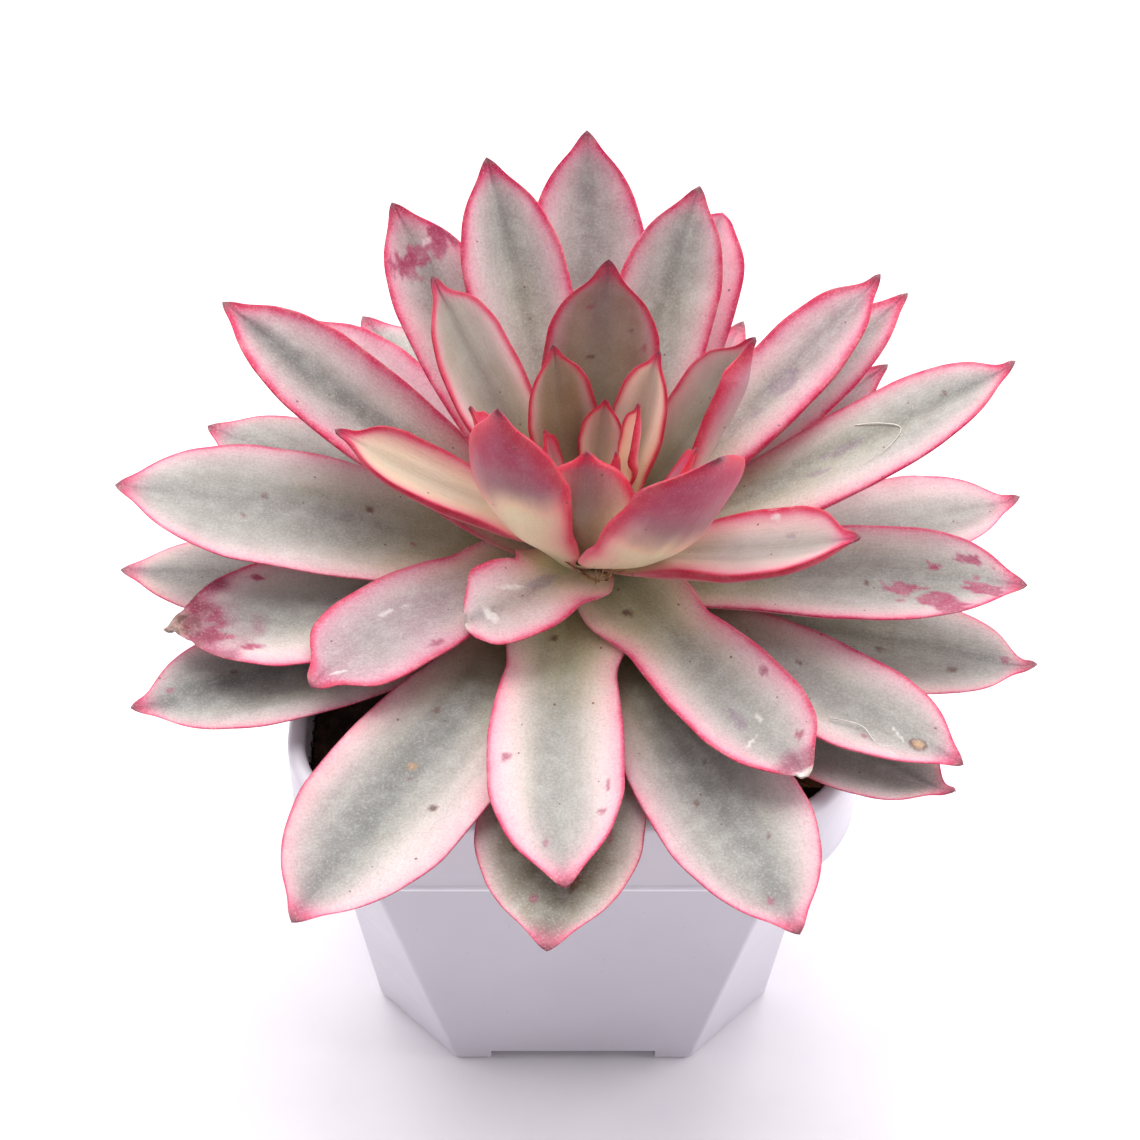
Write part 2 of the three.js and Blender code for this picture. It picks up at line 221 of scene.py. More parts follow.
class LeafForm:
    """What a leaf's CAD node says of its shape, at each station along it."""

    def __init__(self, node):
        base, rings, tip = leaf_rings(node)
        away = base[:2] - STEM_AXIS
        hint = np.array([-away[1], away[0], 0.0])
        centres, lefts, spans, lifts, thick = [], [], [], [], []
        for ring in rings:
            gaps = np.linalg.norm(ring[:, None] - ring[None], axis=2)
            i, j = np.unravel_index(np.argmax(gaps), gaps.shape)
            if np.dot(ring[i] - ring[j], hint) < 0:
                i, j = j, i
            left = unit(ring[i] - ring[j])
            hint = left
            middle = (ring[i] + ring[j]) / 2
            rest = [k for k in range(SIDES) if k not in (i, j)]
            rest.sort(key=lambda k: abs(np.dot(ring[k] - middle, left)))
            centres.append((ring[rest[0]], ring[rest[1]]))
            lefts.append(left)
            spans.append(gaps[i, j] / 2)
            lifts.append(middle)
        rough = [sum(pair) / 2 for pair in centres] + [tip]
        self.centre, self.half, self.curl, self.thick = [], [], [], []
        for k, (pair, left, span, middle) in enumerate(zip(centres, lefts, spans, lifts)):
            forward = rough[k + 1] - rough[max(k - 1, 0)]
            up = unit(np.cross(forward, left))
            top, under = sorted(pair, key=lambda p: -np.dot(p, up))
            centre = top + TOP_SHARE * (under - top)
            sag = np.dot(middle - centre, up)
            curl = 2 * atan(sag / span)
            self.centre.append(centre)
            self.curl.append(curl)
            self.half.append(span * curl / sin(curl) if abs(curl) > 1e-3 else span)
            self.thick.append(np.linalg.norm(top - under))
        self.centre.append(tip)
        self.half.append(0.0)
        self.curl.append(self.curl[-1])
        self.thick.append(self.thick[-1] * 0.5)
        self.left = lefts + [lefts[-1]]
        self.length = float(np.linalg.norm(np.diff(self.centre, axis=0), axis=1).sum())

    def at(self, along):
        centre = through(STATIONS, self.centre, along)
        left = unit(through(STATIONS, self.left, along))
        forward = unit(np.gradient(centre, along, axis=0))
        up = unit(np.cross(forward, left))
        half = np.maximum(through(STATIONS, self.half, along, clamp=True), 0)
        curl = through(STATIONS, self.curl, along, clamp=True)
        thick = through(STATIONS, self.thick, along, clamp=True)
        return centre, left, up, half, curl, thick


# ---------- leaf colours ----------

def rgb(r, g, b):
    return np.array([r, g, b]) / 255


OLIVE = rgb(172, 171, 124)
GREY_GREEN = rgb(166, 164, 157)
DARK_GREY = rgb(106, 107, 104)
BROWN_OLIVE = rgb(126, 116, 84)
CREAM = rgb(236, 222, 186)
PALE = rgb(218, 208, 203)
PINK = rgb(248, 162, 188)
SALMON = rgb(236, 176, 166)
MAUVE = rgb(190, 146, 166)
MAUVE_GREY = rgb(124, 98, 104)
UNDER_CREAM = rgb(255, 227, 186)
CRIMSON = rgb(212, 14, 78)
DEEP_CRIMSON = rgb(194, 2, 48)
WINE = rgb(124, 18, 54)
TIP_BROWN = rgb(106, 34, 50)
BARK = rgb(104, 70, 44)
TAN = rgb(176, 138, 98)
WHITE = rgb(236, 230, 226)
GOLD = rgb(236, 190, 132)
DRIED = rgb(116, 82, 78)
DRIED_PALE = rgb(178, 142, 126)


class Look:
    """How one leaf differs in shape and colour. Places across are shares of the half width."""

    stripe = 0.62  # half width of the green middle
    shift = 0.0  # its middle, towards the right margin
    dark = 0.5  # strength of the darker streak in it
    pink = 2.6  # width in mm of the pink margin
    edge = 0.5  # width in mm of the crimson line
    blush = 0.0  # pink all over
    cream = 0.0  # cream all over, in place of green
    mauve = 0.0  # mauve all over
    red = 0.0  # crimson flush from the tip downwards
    olive = 0.75  # warmth of the green
    brown = 0.0  # olive brown in place of green
    salmon = 0.3  # salmon in place of pink
    under_red = 0.3  # crimson and mauve on the underside, from the tip downwards
    point = 1.0  # how far the tip is a dark point
    spike = 0.2  # how far the tip is drawn out
    round = 0.0  # fullness of the outline towards the tip
    taper = 0.0  # narrowing of the outline towards the tip
    lift = 1.0  # brightness gain, which paints light and shade: above 1 for light shining through a leaf, below 1 for a leaf in the shade of others
    rim = 0.5  # strength of the crimson that spreads in from the margin
    flare = 0.45  # widening of the base, where it clasps the stem
    twist = 0.0  # turn of the blade about its length, in radians, which raises its left margin
    hook = 0.0  # how far, in mm, the tip turns up
    fold = 0.0  # how far, in mm, the right margin turns up
    crumple = 0.0  # share of the length that has dried, at the tip
    stain = 0.75  # strength of the dark stain beside it
    bleach = 0.0  # how far the dried part is white
    gold = 0.0  # gold in place of pink
    deep = 0.0  # how far the crimson line is a deep one
    full = 0.0  # least width of the round base, as a share of the widest part
    scars = ()  # marks, as marks_on says

    def __init__(self, **differs):
        self.__dict__.update(differs)


def mixed(a, b, share):
    return a + (b - a) * np.clip(share, 0, 1)[:, None]


def leaf_paint(a, t, top, half, length, look, seed):
    """The colour of each point and its place on the flattened leaf, in mm.

    a runs from -1 at the left margin to 1, t from 0 at the base to 1, and half and length are in mm.
    """
    place = np.stack([a * half, t * length, np.full_like(a, seed % 97)], axis=1)
    fibre = noise(place * [1, 0.1, 1], 1.8, seed)
    fibre_fine = noise(place * [1, 0.05, 1], 0.5, seed + 1)
    patch = noise(place, 7, seed + 2)
    patch_wide = noise(place * [1, 0.4, 1], 8, seed + 4)
    patch_fine = noise(place, 2.2, seed + 3)
    edge = half * (1 - np.abs(a)) + 0.12 * patch_fine
    flat = np.ones((len(a), 1))

    green = mixed(OLIVE * flat, GREY_GREEN, 1 - look.olive + smoothstep(0.1, 0.5, t) * look.olive)
    green = mixed(green, BROWN_OLIVE, look.brown * (0.85 + 0.3 * patch))
    streak = bell((a - look.shift) / 0.3 + 0.35 * fibre + 0.3 * patch_wide, 1) * smoothstep(0.12, 0.45, t)
    streak = streak * (0.6 + 0.4 * smoothstep(-0.6, 0.6, patch_wide))
    green = mixed(green, DARK_GREY, look.dark * streak)
    warm = smoothstep(-0.3, 0.7, patch_wide) * (1 - smoothstep(0.5, 0.95, t))
    green = mixed(green, OLIVE, 0.3 * look.olive * warm)
    green = mixed(green, DARK_GREY, 0.05 * fibre + 0.03 * fibre_fine + 0.07 * patch)
    pale = mixed(CREAM * flat, PALE, smoothstep(0.05, 0.6, t) * (1 - look.cream))
    inside = np.abs(a - look.shift) - look.stripe + 0.09 * fibre + 0.16 * patch_wide
    stripe = 1 - smoothstep(-0.36, 0.34, inside)
    colour = mixed(pale, green, stripe * (1 - 0.85 * look.cream))
    pinks = mixed(PINK * flat, SALMON, look.salmon * (0.6 + 0.4 * patch))
    pinks = mixed(pinks, GOLD, look.gold * (0.85 + 0.3 * patch))
    rim = np.exp(-(np.clip(edge, 0, None) / look.pink) ** 1.2) * (0.4 + 0.5 * smoothstep(0.05, 0.5, t))
    colour = mixed(colour, pinks, rim * (0.85 + 0.3 * patch))
    colour = mixed(colour, pinks, look.blush * (0.75 + 0.4 * patch) * smoothstep(-0.1, 0.4, t))
    colour = mixed(colour, MAUVE, look.mauve * (0.75 + 0.4 * patch) * smoothstep(0.1, 0.6, t))

    under = mixed(UNDER_CREAM * flat, PALE, (0.3 + 0.7 * smoothstep(0.2, 0.8, t)) * (1 - look.cream))
    under = mixed(under, GREY_GREEN, 0.6 * (1 - look.cream) * bell(a, 0.6) * (0.8 + 0.3 * fibre))
    under = mixed(under, BROWN_OLIVE, 0.75 * look.brown * bell(a, 0.7))
    height = t + 0.1 * np.abs(a) + 0.05 * patch + 0.03 * fibre
    height = height + 0.12 * (1 - a * a) * look.under_red
    under = mixed(under, MAUVE_GREY, look.under_red * 0.85 * smoothstep(0.5, 0.78, height))
    under = mixed(under, PINK, 0.4 * rim)
    under = mixed(under, CRIMSON, look.under_red * 0.32 * smoothstep(0.62, 1.05, height))
    under = mixed(under, WINE, look.under_red * 0.5 * smoothstep(0.76, 1.1, height))
    colour = np.where((top > 0)[:, None], colour, under)

    flush = smoothstep(0.45, 1.0, t + 0.1 * np.abs(a) + 0.03 * fibre)
    colour = mixed(colour, CRIMSON, look.red * flush)
    inward = np.clip(edge, 0, None)
    width = look.edge * (0.7 + 0.6 * smoothstep(0.2, 0.9, t)) * (1 + 0.25 * patch)
    width = width * (1 + 1.1 * look.deep * (top < 0))
    line = np.exp(-((inward / width) ** 2.4))
    glow = np.exp(-inward / (2.2 * look.edge))
    # Painted light and shade: lift brightens or darkens the whole leaf colour.
    colour = colour * look.lift
    colour = mixed(colour, CRIMSON, look.rim * glow * smoothstep(0.0, 0.3, t))
    lined = CRIMSON + (DEEP_CRIMSON - CRIMSON) * look.deep
    colour = mixed(colour, lined, line * (0.25 + 0.7 * smoothstep(0.08, 0.4, t)) * (0.95 + 0.2 * patch_fine))
    tip_mm = (1 - t) * length
    small = min(1.0, length[0] / 50)
    colour = mixed(colour, CRIMSON, 0.8 * look.point * bell(tip_mm, 3.2 * small))
    colour = mixed(colour, WINE, 0.7 * look.point * bell(tip_mm, 1.9 * small))
    colour = mixed(colour, TIP_BROWN, 0.9 * look.point * bell(tip_mm, 0.9 * small))
    return colour, place


# Each kind of mark: its colour, how strongly it covers, how ragged its outline is, and its height in mm.
MARKS = {
    "dot": (rgb(96, 62, 52), 0.85, 0.15, -0.06),
    "tan": (TAN, 0.9, 0.2, 0.16),
    "bark": (BARK, 0.85, 0.5, 0.2),
    "purple": (rgb(150, 48, 82), 0.6, 0.75, -0.05),
    "stain": (rgb(164, 44, 86), 0.8, 1.7, -0.03),
    "bruise": (rgb(130, 108, 128), 0.45, 0.6, -0.1),
    "white": (WHITE, 0.7, 0.5, 0.08),
}


def marks_on(form, place, top, look, seed):
    """Marks on the top side: yields each point's share covered by the mark, its colour and its height in mm.

    A mark is (along, across, size in mm, kind), and if it isn't round, its width as a share of its length
    and its turn in degrees.
    """
    facing = (top >= 0).astype(float)
    for n, (along, across, size, kind, *more) in enumerate(look.scars):
        stretch, turn = more or (1, 0)
        half = form.at(np.array([along, 1.0]))[3][0] / MM
        dx = place[:, 0] - across * half
        dy = place[:, 1] - along * form.length / MM
        c, s = cos(radians(turn)), sin(radians(turn))
        u, v = dx * c + dy * s, (dy * c - dx * s) / stretch
        colour, cover, ragged, height = MARKS[kind]
        rough = 0.45 * noise(place, max(size * 0.5, 0.3), seed + n)
        rough = rough + 0.35 * noise(place * [1, 0.4, 1], max(size * 0.16, 0.25), seed + n + 50)
        away = np.hypot(u, v) / size + ragged * rough
        mask = (1 - smoothstep(0.72, 1.12, away)) * facing
        yield mask * cover, colour, height * mask
        if kind in ("tan", "bark"):
            ring = bell(away - 0.98, 0.22) * facing
            yield ring * 0.8, rgb(84, 52, 46), 0.1 * ring


def half_widths(along, half, widest, length, look):
    """The half width at each row, from the CAD leaf's and the look."""
    half = half * (1 + look.flare * (1 - smoothstep(0, 0.32, along)))
    tip_mm = (1 - along) * length / MM
    waist = 0.42 * min(7.0, 0.16 * length / MM)
    half = half * (1 - look.spike * bell(tip_mm - waist, waist))
    half = half * (1 + look.round * bell(along - 0.84, 0.11))
    half = half * (1 - look.taper * np.clip((along - 0.55) / 0.45, 0, 1))
    base = np.sqrt(smoothstep(-0.02, 0.15, along)) * (1 - smoothstep(0.2, 0.5, along))
    return np.maximum(half, look.full * widest * base)


def leaf_section(over, under):
    """Places across for one loop of a leaf's skin, with 1 on the top side, 0 at a margin and -1 underneath."""
    u_top = np.linspace(-1, 1, over)
    a_top = 0.62 * u_top + 0.38 * np.sin(u_top * pi / 2)
    u_low = np.linspace(1, -1, under + 2)[1:-1]
    a_low = 0.5 * u_low + 0.5 * np.sin(u_low * pi / 2)
    facing = np.concatenate([np.ones(over), -np.ones(under)])
    facing[[0, over - 1]] = 0
    return np.concatenate([a_top, a_low]), facing


def dried(t, place, colour, out, rise, look, seed):
    """Shrivels and browns the tip."""
    end = smoothstep(1 - look.crumple, 1 - 0.4 * look.crumple, t + 0.02 * noise(place, 3, seed + 8))
    rise = rise + end * MM * (0.9 * noise(place, 1.7, seed + 9) + 0.5 * noise(place, 0.8, seed + 10))
    out = out * (1 - 0.2 * end) + end * MM * 0.6 * noise(place, 1.4, seed + 11)
    crust = mixed(DRIED * np.ones((len(t), 1)), DRIED_PALE, 0.5 + 0.6 * noise(place, 1.1, seed + 12))
    crust = mixed(crust, WHITE, look.bleach * (0.7 + 0.5 * noise(place, 0.9, seed + 14)))
    colour = mixed(colour, crust, end)
    halo = smoothstep(1 - 3 * look.crumple, 1 - 0.8 * look.crumple, t + 0.06 * noise(place, 3, seed + 13))
    return mixed(colour, WINE, look.stain * (halo * (1 - end))), out, rise


def build_leaf(node, look):
    form = LeafForm(node)
    seed = zlib.crc32(node.encode()) % 100000
    length = form.length
    widest = max(form.half)
    rows = int(np.clip(length / MM / ROW_STEP, 34, 120))
    over = int(np.clip(2 * widest / MM / COLUMN_STEP, 20, 48))
    u = np.linspace(0, 1, rows)
    along = (0.75 * u + 0.25 * np.sin(u * pi / 2)) * 0.9985
    centre, left, up, half, curl, thick = form.at(along)
    turn = (look.twist * smoothstep(0.1, 0.5, along))[:, None]
    left, up = left * np.cos(turn) + up * np.sin(turn), up * np.cos(turn) - left * np.sin(turn)
    centre = centre + up * (look.hook * MM * smoothstep(1 - 4 * MM / length, 1, along) ** 2)[:, None]
    inward = unit(centre[0] - centre[2]) * SINK
    centre = centre + inward * ((1 - smoothstep(0, 0.12, along)) ** 2)[:, None]
    half = half_widths(along, half, widest, length, look)
    thick = np.maximum(thick, THINNEST * (half > 0.3 * MM))
    across, facing = leaf_section(over, over // 2)
    ring = len(across)

    a = np.tile(across, rows)
    top = np.tile(facing, rows)
    t = np.repeat(along, ring)
    c, l, n, h, k, th = (np.repeat(v, ring, axis=0) for v in (centre, left, up, half, curl, thick))
    k = np.where(np.abs(k) < 1e-3, 1e-3, k)
    swell = np.clip(1 - a * a, 0, 1) ** 0.62
    depth = th * swell * np.where(top > 0, TOP_SHARE, np.where(top < 0, TOP_SHARE - 1, 0))
    angle = k * a
    out = h * np.sin(angle) / k - depth * np.sin(angle)
    rise = h * (1 - np.cos(angle)) / k + depth * np.cos(angle)
    folded = look.fold * MM * smoothstep(0.3, 1, a) ** 2 * smoothstep(0.3, 0.75, t)
    folded = folded * np.minimum(1.6 * h / widest, 1)
    rise = rise + folded
    out = out - 0.55 * folded

    colour, place = leaf_paint(a, t, top, h / MM, np.full(len(a), length / MM), look, seed)
    swing = smoothstep(0.12, 0.4, t) * (1 - smoothstep(0.9, 1, t)) * MM * widest / (13 * MM)
    waves = 0.5 * noise(place * [0.3, 1, 1], 15, seed + 5) + 0.16 * noise(place, 5, seed + 6)
    rise = rise + swing * waves
    soft = (1 - a ** 4) * smoothstep(0, 0.15, t) * (1 - smoothstep(0.93, 1, t))
    ripple = 0.12 * noise(place * [1, 0.18, 1], 2.2, seed + 7) * (top > 0)
    groove = 0.22 * bell(a, 0.12) * (top > 0)
    rise = rise + MM * soft * (ripple - groove)
    for mask, tint, height in marks_on(form, place, top, look, seed):
        colour = mixed(colour, tint, mask)
        rise = rise + MM * height
    if look.crumple:
        colour, out, rise = dried(t, place, colour, out, rise, look, seed)

    points = np.clip(c - l * out[:, None] + n * rise[:, None], *cad_box)
    points = np.concatenate([[form.centre[0]], points, [form.centre[-1]]])
    tip_colour = mixed(colour[-1:], TIP_BROWN, np.array([look.point]))
    colour = np.concatenate([colour[:1], colour, tip_colour])
    last = len(points) - 1
    s = np.arange(ring)
    s2 = (s + 1) % ring
    first = 1 + np.arange(rows) * ring
    quads = [np.stack([f + s, f + s2, f + ring + s2, f + ring + s], 1) for f in first[:-1]]
    faces = np.concatenate(quads).tolist()
    faces += np.stack([0 * s, 1 + s2, 1 + s], 1).tolist()
    faces += np.stack([0 * s + last, first[-1] + s, first[-1] + s2], 1).tolist()
    obj = new_object(node + "_skin", points, faces)
    add_colour(obj, colour)
    ends = np.array([[0, 0, 0]])
    shifted = place + [seed % 89, seed % 53, 0]
    add_place(obj, np.concatenate([ends, shifted * MM, ends]))
    return obj


# ---------- materials ----------

class Shader:
    """A Principled material, or a world, with a short way to add nodes and links."""

    def __init__(self, owner, end="Principled BSDF", **sockets):
        self.owner = owner
        owner.use_nodes = True
        self.tree = owner.node_tree
        self.end = self.tree.nodes[end]
        for key, value in sockets.items():
            self.end.inputs[key.replace("_", " ")].default_value = value

    def node(self, kind, inputs=(), **settings):
        made = self.tree.nodes.new("ShaderNode" + kind)
        for key, value in settings.items():
            setattr(made, key, value)
        for key, value in dict(inputs).items():
            if isinstance(value, bpy.types.NodeSocket):
                self.tree.links.new(value, made.inputs[key])
            else:
                made.inputs[key].default_value = value
        return made

    def where(self):
        return self.node("TexCoord").outputs["Object"]

    def own(self, attribute, output):
        return self.node("Attribute", attribute_name=attribute).outputs[output]

    def scaled(self, vector, scale, turn=0.0):
        inputs = {"Vector": vector, "Rotation": (0, 0, turn), "Scale": scale}
        return self.node("Mapping", inputs).outputs["Vector"]

    def axis(self, vector, name):
        return self.node("SeparateXYZ", {0: vector}).outputs[name]

    def math(self, operation, a, b):
        return self.node("Math", {0: a, 1: b}, operation=operation).outputs[0]

    def noise(self, scale, detail=2.0, roughness=0.5, vector=None):
        vector = vector or self.where()
        inputs = {"Vector": vector, "Scale": scale, "Detail": detail, "Roughness": roughness}
        return self.node("TexNoise", inputs).outputs["Fac"]

    def ramp(self, value, low, high, to_low=0.0, to_high=1.0):
        inputs = {"Value": value, "From Min": low, "From Max": high, "To Min": to_low, "To Max": to_high}
        return self.node("MapRange", inputs).outputs["Result"]

    def mix(self, share, a, b, blend="MIX"):
        made = self.node("Mix", data_type="RGBA", blend_type=blend)
        for index, value in ((0, share), (6, a), (7, b)):
            if isinstance(value, bpy.types.NodeSocket):
                self.tree.links.new(value, made.inputs[index])
            else:
                made.inputs[index].default_value = value
        return made.outputs[2]

    def bump(self, height, strength, distance, normal=None):
        inputs = {"Height": height, "Strength": strength, "Distance": distance}
        if normal is not None:
            inputs["Normal"] = normal
        return self.node("Bump", inputs).outputs["Normal"]

    def set(self, key, value):
        self.tree.links.new(value, self.end.inputs[key])


def new_shader(name, **sockets):
    return Shader(bpy.data.materials.new(name), **sockets)


def light(r, g, b):
    """Screen colour values, 0 to 255, as light with an alpha of 1."""
    return (*[float(v) for v in screen_to_light(rgb(r, g, b))], 1.0)


def leaf_material(name, bloom, speckle, roughness):
    m = new_shader(
        name, Roughness=roughness, Subsurface_Weight=0.08, Subsurface_Scale=0.0008,
        Subsurface_Radius=(1.0, 0.45, 0.35), Sheen_Weight=0.06, Sheen_Roughness=0.6,
    )
    paint = m.own("paint", "Color")
    place = m.own("place", "Vector")
    drawn = m.scaled(place, (1, 0.16, 1))
    grain = m.noise(2300, 3.0, 0.7)
    powder = m.noise(300, 3.0, 0.5)
    fibre = m.noise(1500, 2.0, 0.55, drawn)
    cells = m.node("TexVoronoi", {"Vector": m.where(), "Scale": 1500}, feature="F1").outputs["Distance"]
    spots = m.node("TexVoronoi", {"Vector": place, "Scale": 150}, feature="F1", voronoi_dimensions="2D")
    chance = m.node("SeparateColor", {"Color": spots.outputs["Color"]}).outputs["Red"]
    size = m.ramp(chance, 0.5, 1.0, 0.0, 0.045)
    spot = m.ramp(m.math("SUBTRACT", size, spots.outputs["Distance"]), 0.0, 0.008)
    scrapes = m.noise(260, 6, 0.72, m.scaled(place, (1, 0.22, 1), 0.5))
    colour = m.mix(m.ramp(powder, 0.42, 0.72, 0.0, bloom), paint, light(236, 236, 232))
    colour = m.mix(m.ramp(fibre, 0.5, 0.72, 0.0, 0.05), colour, light(120, 124, 116), "MULTIPLY")
    colour = m.mix(m.ramp(grain, 0.48, 0.7, 0.0, 0.3 * speckle), colour, light(150, 144, 134), "MULTIPLY")
    colour = m.mix(m.ramp(grain, 0.46, 0.3, 0.0, 0.22 * speckle), colour, light(232, 228, 226))
    colour = m.mix(m.ramp(cells, 0.1, 0.0, 0.0, 0.25 * speckle), colour, light(214, 210, 206))
    colour = m.mix(m.ramp(scrapes, 0.66, 0.76, 0.0, 0.45), colour, light(238, 234, 230))
    colour = m.mix(m.ramp(spot, 0.0, 1.0, 0.0, 0.8), colour, light(112, 72, 60))
    m.set("Base Color", colour)
    m.set("Roughness", m.ramp(powder, 0.3, 0.75, roughness - 0.07, roughness + 0.1))
    normal = m.bump(fibre, 0.25, 0.0003)
    m.set("Normal", m.bump(grain, 0.22, 0.00012, normal))
    return m.owner


# ---------- pot ----------

POT_HEIGHT = (POT_HIGH - POT_LOW).z
RIM_HALF = (POT_HIGH - POT_LOW).x / 2
RIM_HEIGHT = 18.5 * MM
RIM_WALL = 3.2 * MM
RIM_RADIUS = 21 * MM
RIM_FOOT = POT_HEIGHT - RIM_HEIGHT
LEDGE = RIM_FOOT + 2.2 * MM
LIP = 1.6 * MM
BEAD = 0.15 * MM
WALL_TOP_HALF, WALL_BASE_HALF = 43.2 * MM, 38.4 * MM
CHAMFER_TOP, CHAMFER_BASE = 6 * MM, 15.6 * MM
CHAMFER_SOFTNESS = 1.6 * MM
WALL = 1.8 * MM
FLOOR_TOP = 5.2 * MM
NOTCH_HALF, NOTCH_HEIGHT = 16 * MM, 3 * MM
DRAIN_RADIUS, DRAIN_PLACE = 3.5 * MM, 24 * MM
ARC = 9  # points on each rounded end of a chamfer; a rounded corner has twice as many


def on_pot(x, y, z):
    return (POT_MIDDLE.x + x, POT_MIDDLE.y + y, GROUND + z)


def four_corners(quarter, height):
    """A level loop from the points of its first corner."""
    loop = list(quarter)
    for _ in range(3):
        loop += [(-y, x) for x, y in loop[-len(quarter):]]
    return [on_pot(x, y, height) for x, y in loop]


def corner_arc(half, radius):
    """The first corner of a rounded square."""
    centre = half - radius
    angles = np.linspace(0, pi / 2, 2 * ARC)
    return [(centre + radius * cos(v), centre + radius * sin(v)) for v in angles]


def rim_loop(inset, height):
    half, radius = RIM_HALF - inset, RIM_RADIUS - inset
    return four_corners(corner_arc(half, radius), height)


def wall_loop(height, inset, level=None):
    share = height / RIM_FOOT
    half = WALL_BASE_HALF + (WALL_TOP_HALF - WALL_BASE_HALF) * share - inset
    chamfer = CHAMFER_BASE + (CHAMFER_TOP - CHAMFER_BASE) * share - inset * (2 - sqrt(2))
    reach = CHAMFER_SOFTNESS
    back = reach / tan(radians(22.5)) * (1 / cos(radians(22.5)) - 1)
    soften = reach * tan(radians(22.5))
    angles = np.linspace(0, pi / 4, ARC)
    first = (half - reach, half - chamfer - soften)
    points = [(first[0] + reach * cos(v), first[1] + reach * sin(v)) for v in angles]
    second = (first[1], first[0])
    turned = angles + pi / 4
    points += [(second[0] + reach * cos(v), second[1] + reach * sin(v)) for v in turned]
    return four_corners(points, height if level is None else level)


def loft(name, loops, first, last):
    """A closed skin through level loops with as many points each, anticlockwise from above.

    The loops run up the outside first.
    """
    ring = len(loops[0])
    points = [first] + [p for loop in loops for p in loop] + [last]
    end = len(points) - 1
    top = end - ring
    faces = []
    for s in range(ring):
        s2 = (s + 1) % ring
        faces.append((0, 1 + s2, 1 + s))
        faces += [(r + s, r + s2, r + ring + s2, r + ring + s) for r in range(1, top, ring)]
        faces.append((end, top + s, top + s2))
    return new_object(name, points, faces)


def arc_steps(low, high, count):
    return [low + (high - low) * i / count for i in range(count + 1)]


def box_cutter(low, high):
    x0, y0, z0 = low
    x1, y1, z1 = high
    corners = [on_pot(x, y, z) for z in (z0, z1) for x, y in ((x0, y0), (x1, y0), (x1, y1), (x0, y1))]
    faces = [(3, 2, 1, 0), (4, 5, 6, 7), (0, 1, 5, 4), (1, 2, 6, 5), (2, 3, 7, 6), (3, 0, 4, 7)]
    return new_object("cutter", corners, faces, smooth=False)


def drain_cutter(x, y):
    def loop(z):
        ring = [(DRAIN_RADIUS * cos(v), DRAIN_RADIUS * sin(v)) for v in full_turn(32)]
        return [on_pot(x + dx, y + dy, z) for dx, dy in ring]

    low, high = NOTCH_HEIGHT - 1 * MM, FLOOR_TOP + 2 * MM
    return loft("cutter", [loop(low), loop(high)], on_pot(x, y, low), on_pot(x, y, high))


def applied(obj):
    """Turns an object's modifiers into its mesh."""
    graph = bpy.context.evaluated_depsgraph_get()
    obj.data = bpy.data.meshes.new_from_object(obj.evaluated_get(graph))
    obj.modifiers.clear()


def build_pot():
    edge = 0.9 * MM
    loops = []
    for v in arc_steps(-pi / 2, 0, 4):  # rounded foot
        loops.append(wall_loop(edge + edge * sin(v), edge * (1 - cos(v)) * 0.9))
    for height in arc_steps(8 * MM, RIM_FOOT - 1.2 * MM, 6):
        loops.append(wall_loop(height, 0))
    loops.append(wall_loop(RIM_FOOT, 0, RIM_FOOT - 0.5 * MM))
    loops.append(rim_loop(RIM_HALF - WALL_TOP_HALF - 1.2 * MM, RIM_FOOT - 0.05 * MM))
    for v in arc_steps(-pi / 2, 0, 5):  # lower lip, which stands proud as a bead
        loops.append(rim_loop(LIP * (1 - cos(v)) - BEAD, RIM_FOOT + LIP + LIP * sin(v)))
    for proud, height in ((BEAD, 0.5 * MM), (0.5 * BEAD, 0.8 * MM), (0, 0.95 * MM)):
        loops.append(rim_loop(-proud, RIM_FOOT + LIP + height))
    for height in arc_steps(RIM_FOOT + 4 * MM, POT_HEIGHT - 4 * MM, 3):
        loops.append(rim_loop(0, height))
    half_wall = RIM_WALL / 2
    for v in arc_steps(0, pi, 12):  # upper lip
        loops.append(rim_loop(half_wall * (1 - cos(v)), POT_HEIGHT - half_wall * (1 - sin(v))))
    for inset, height in ((0, 1.0 * MM), (0.3 * MM, 0.3 * MM), (1.0 * MM, 0)):  # the round of the ledge
        loops.append(rim_loop(RIM_WALL + inset, LEDGE + height))
    loops.append(wall_loop(RIM_FOOT, WALL, LEDGE))
    for height in arc_steps(RIM_FOOT - 1 * MM, FLOOR_TOP + 1 * MM, 4):
        loops.append(wall_loop(height, WALL))
    loops.append(wall_loop(FLOOR_TOP, WALL + 1 * MM))
    pot = loft("pot_shell", loops, on_pot(0, 0, 0), on_pot(0, 0, FLOOR_TOP))
    far = 2 * RIM_HALF
    cutters = [
        box_cutter((-NOTCH_HALF, -far, -far), (NOTCH_HALF, far, NOTCH_HEIGHT)),
        box_cutter((-far, -NOTCH_HALF, -far), (far, NOTCH_HALF, NOTCH_HEIGHT)),
    ]
    cutters += [drain_cutter(x * DRAIN_PLACE, y * DRAIN_PLACE) for x, y in ((1, 0), (0, 1), (-1, 0), (0, -1))]
    for cutter in cutters:
        cut = pot.modifiers.new("cut", "BOOLEAN")
        cut.operation = "DIFFERENCE"
        cut.solver = "EXACT"
        cut.object = cutter
    applied(pot)
    for cutter in cutters:
        bpy.data.objects.remove(cutter)
    pot.data.polygons.foreach_set("use_smooth", [True] * len(pot.data.polygons))
    pot.data.set_sharp_from_angle(angle=radians(40))
    weighted = pot.modifiers.new("normals", "WEIGHTED_NORMAL")
    weighted.keep_sharp = True
    weighted.weight = 80
    return pot


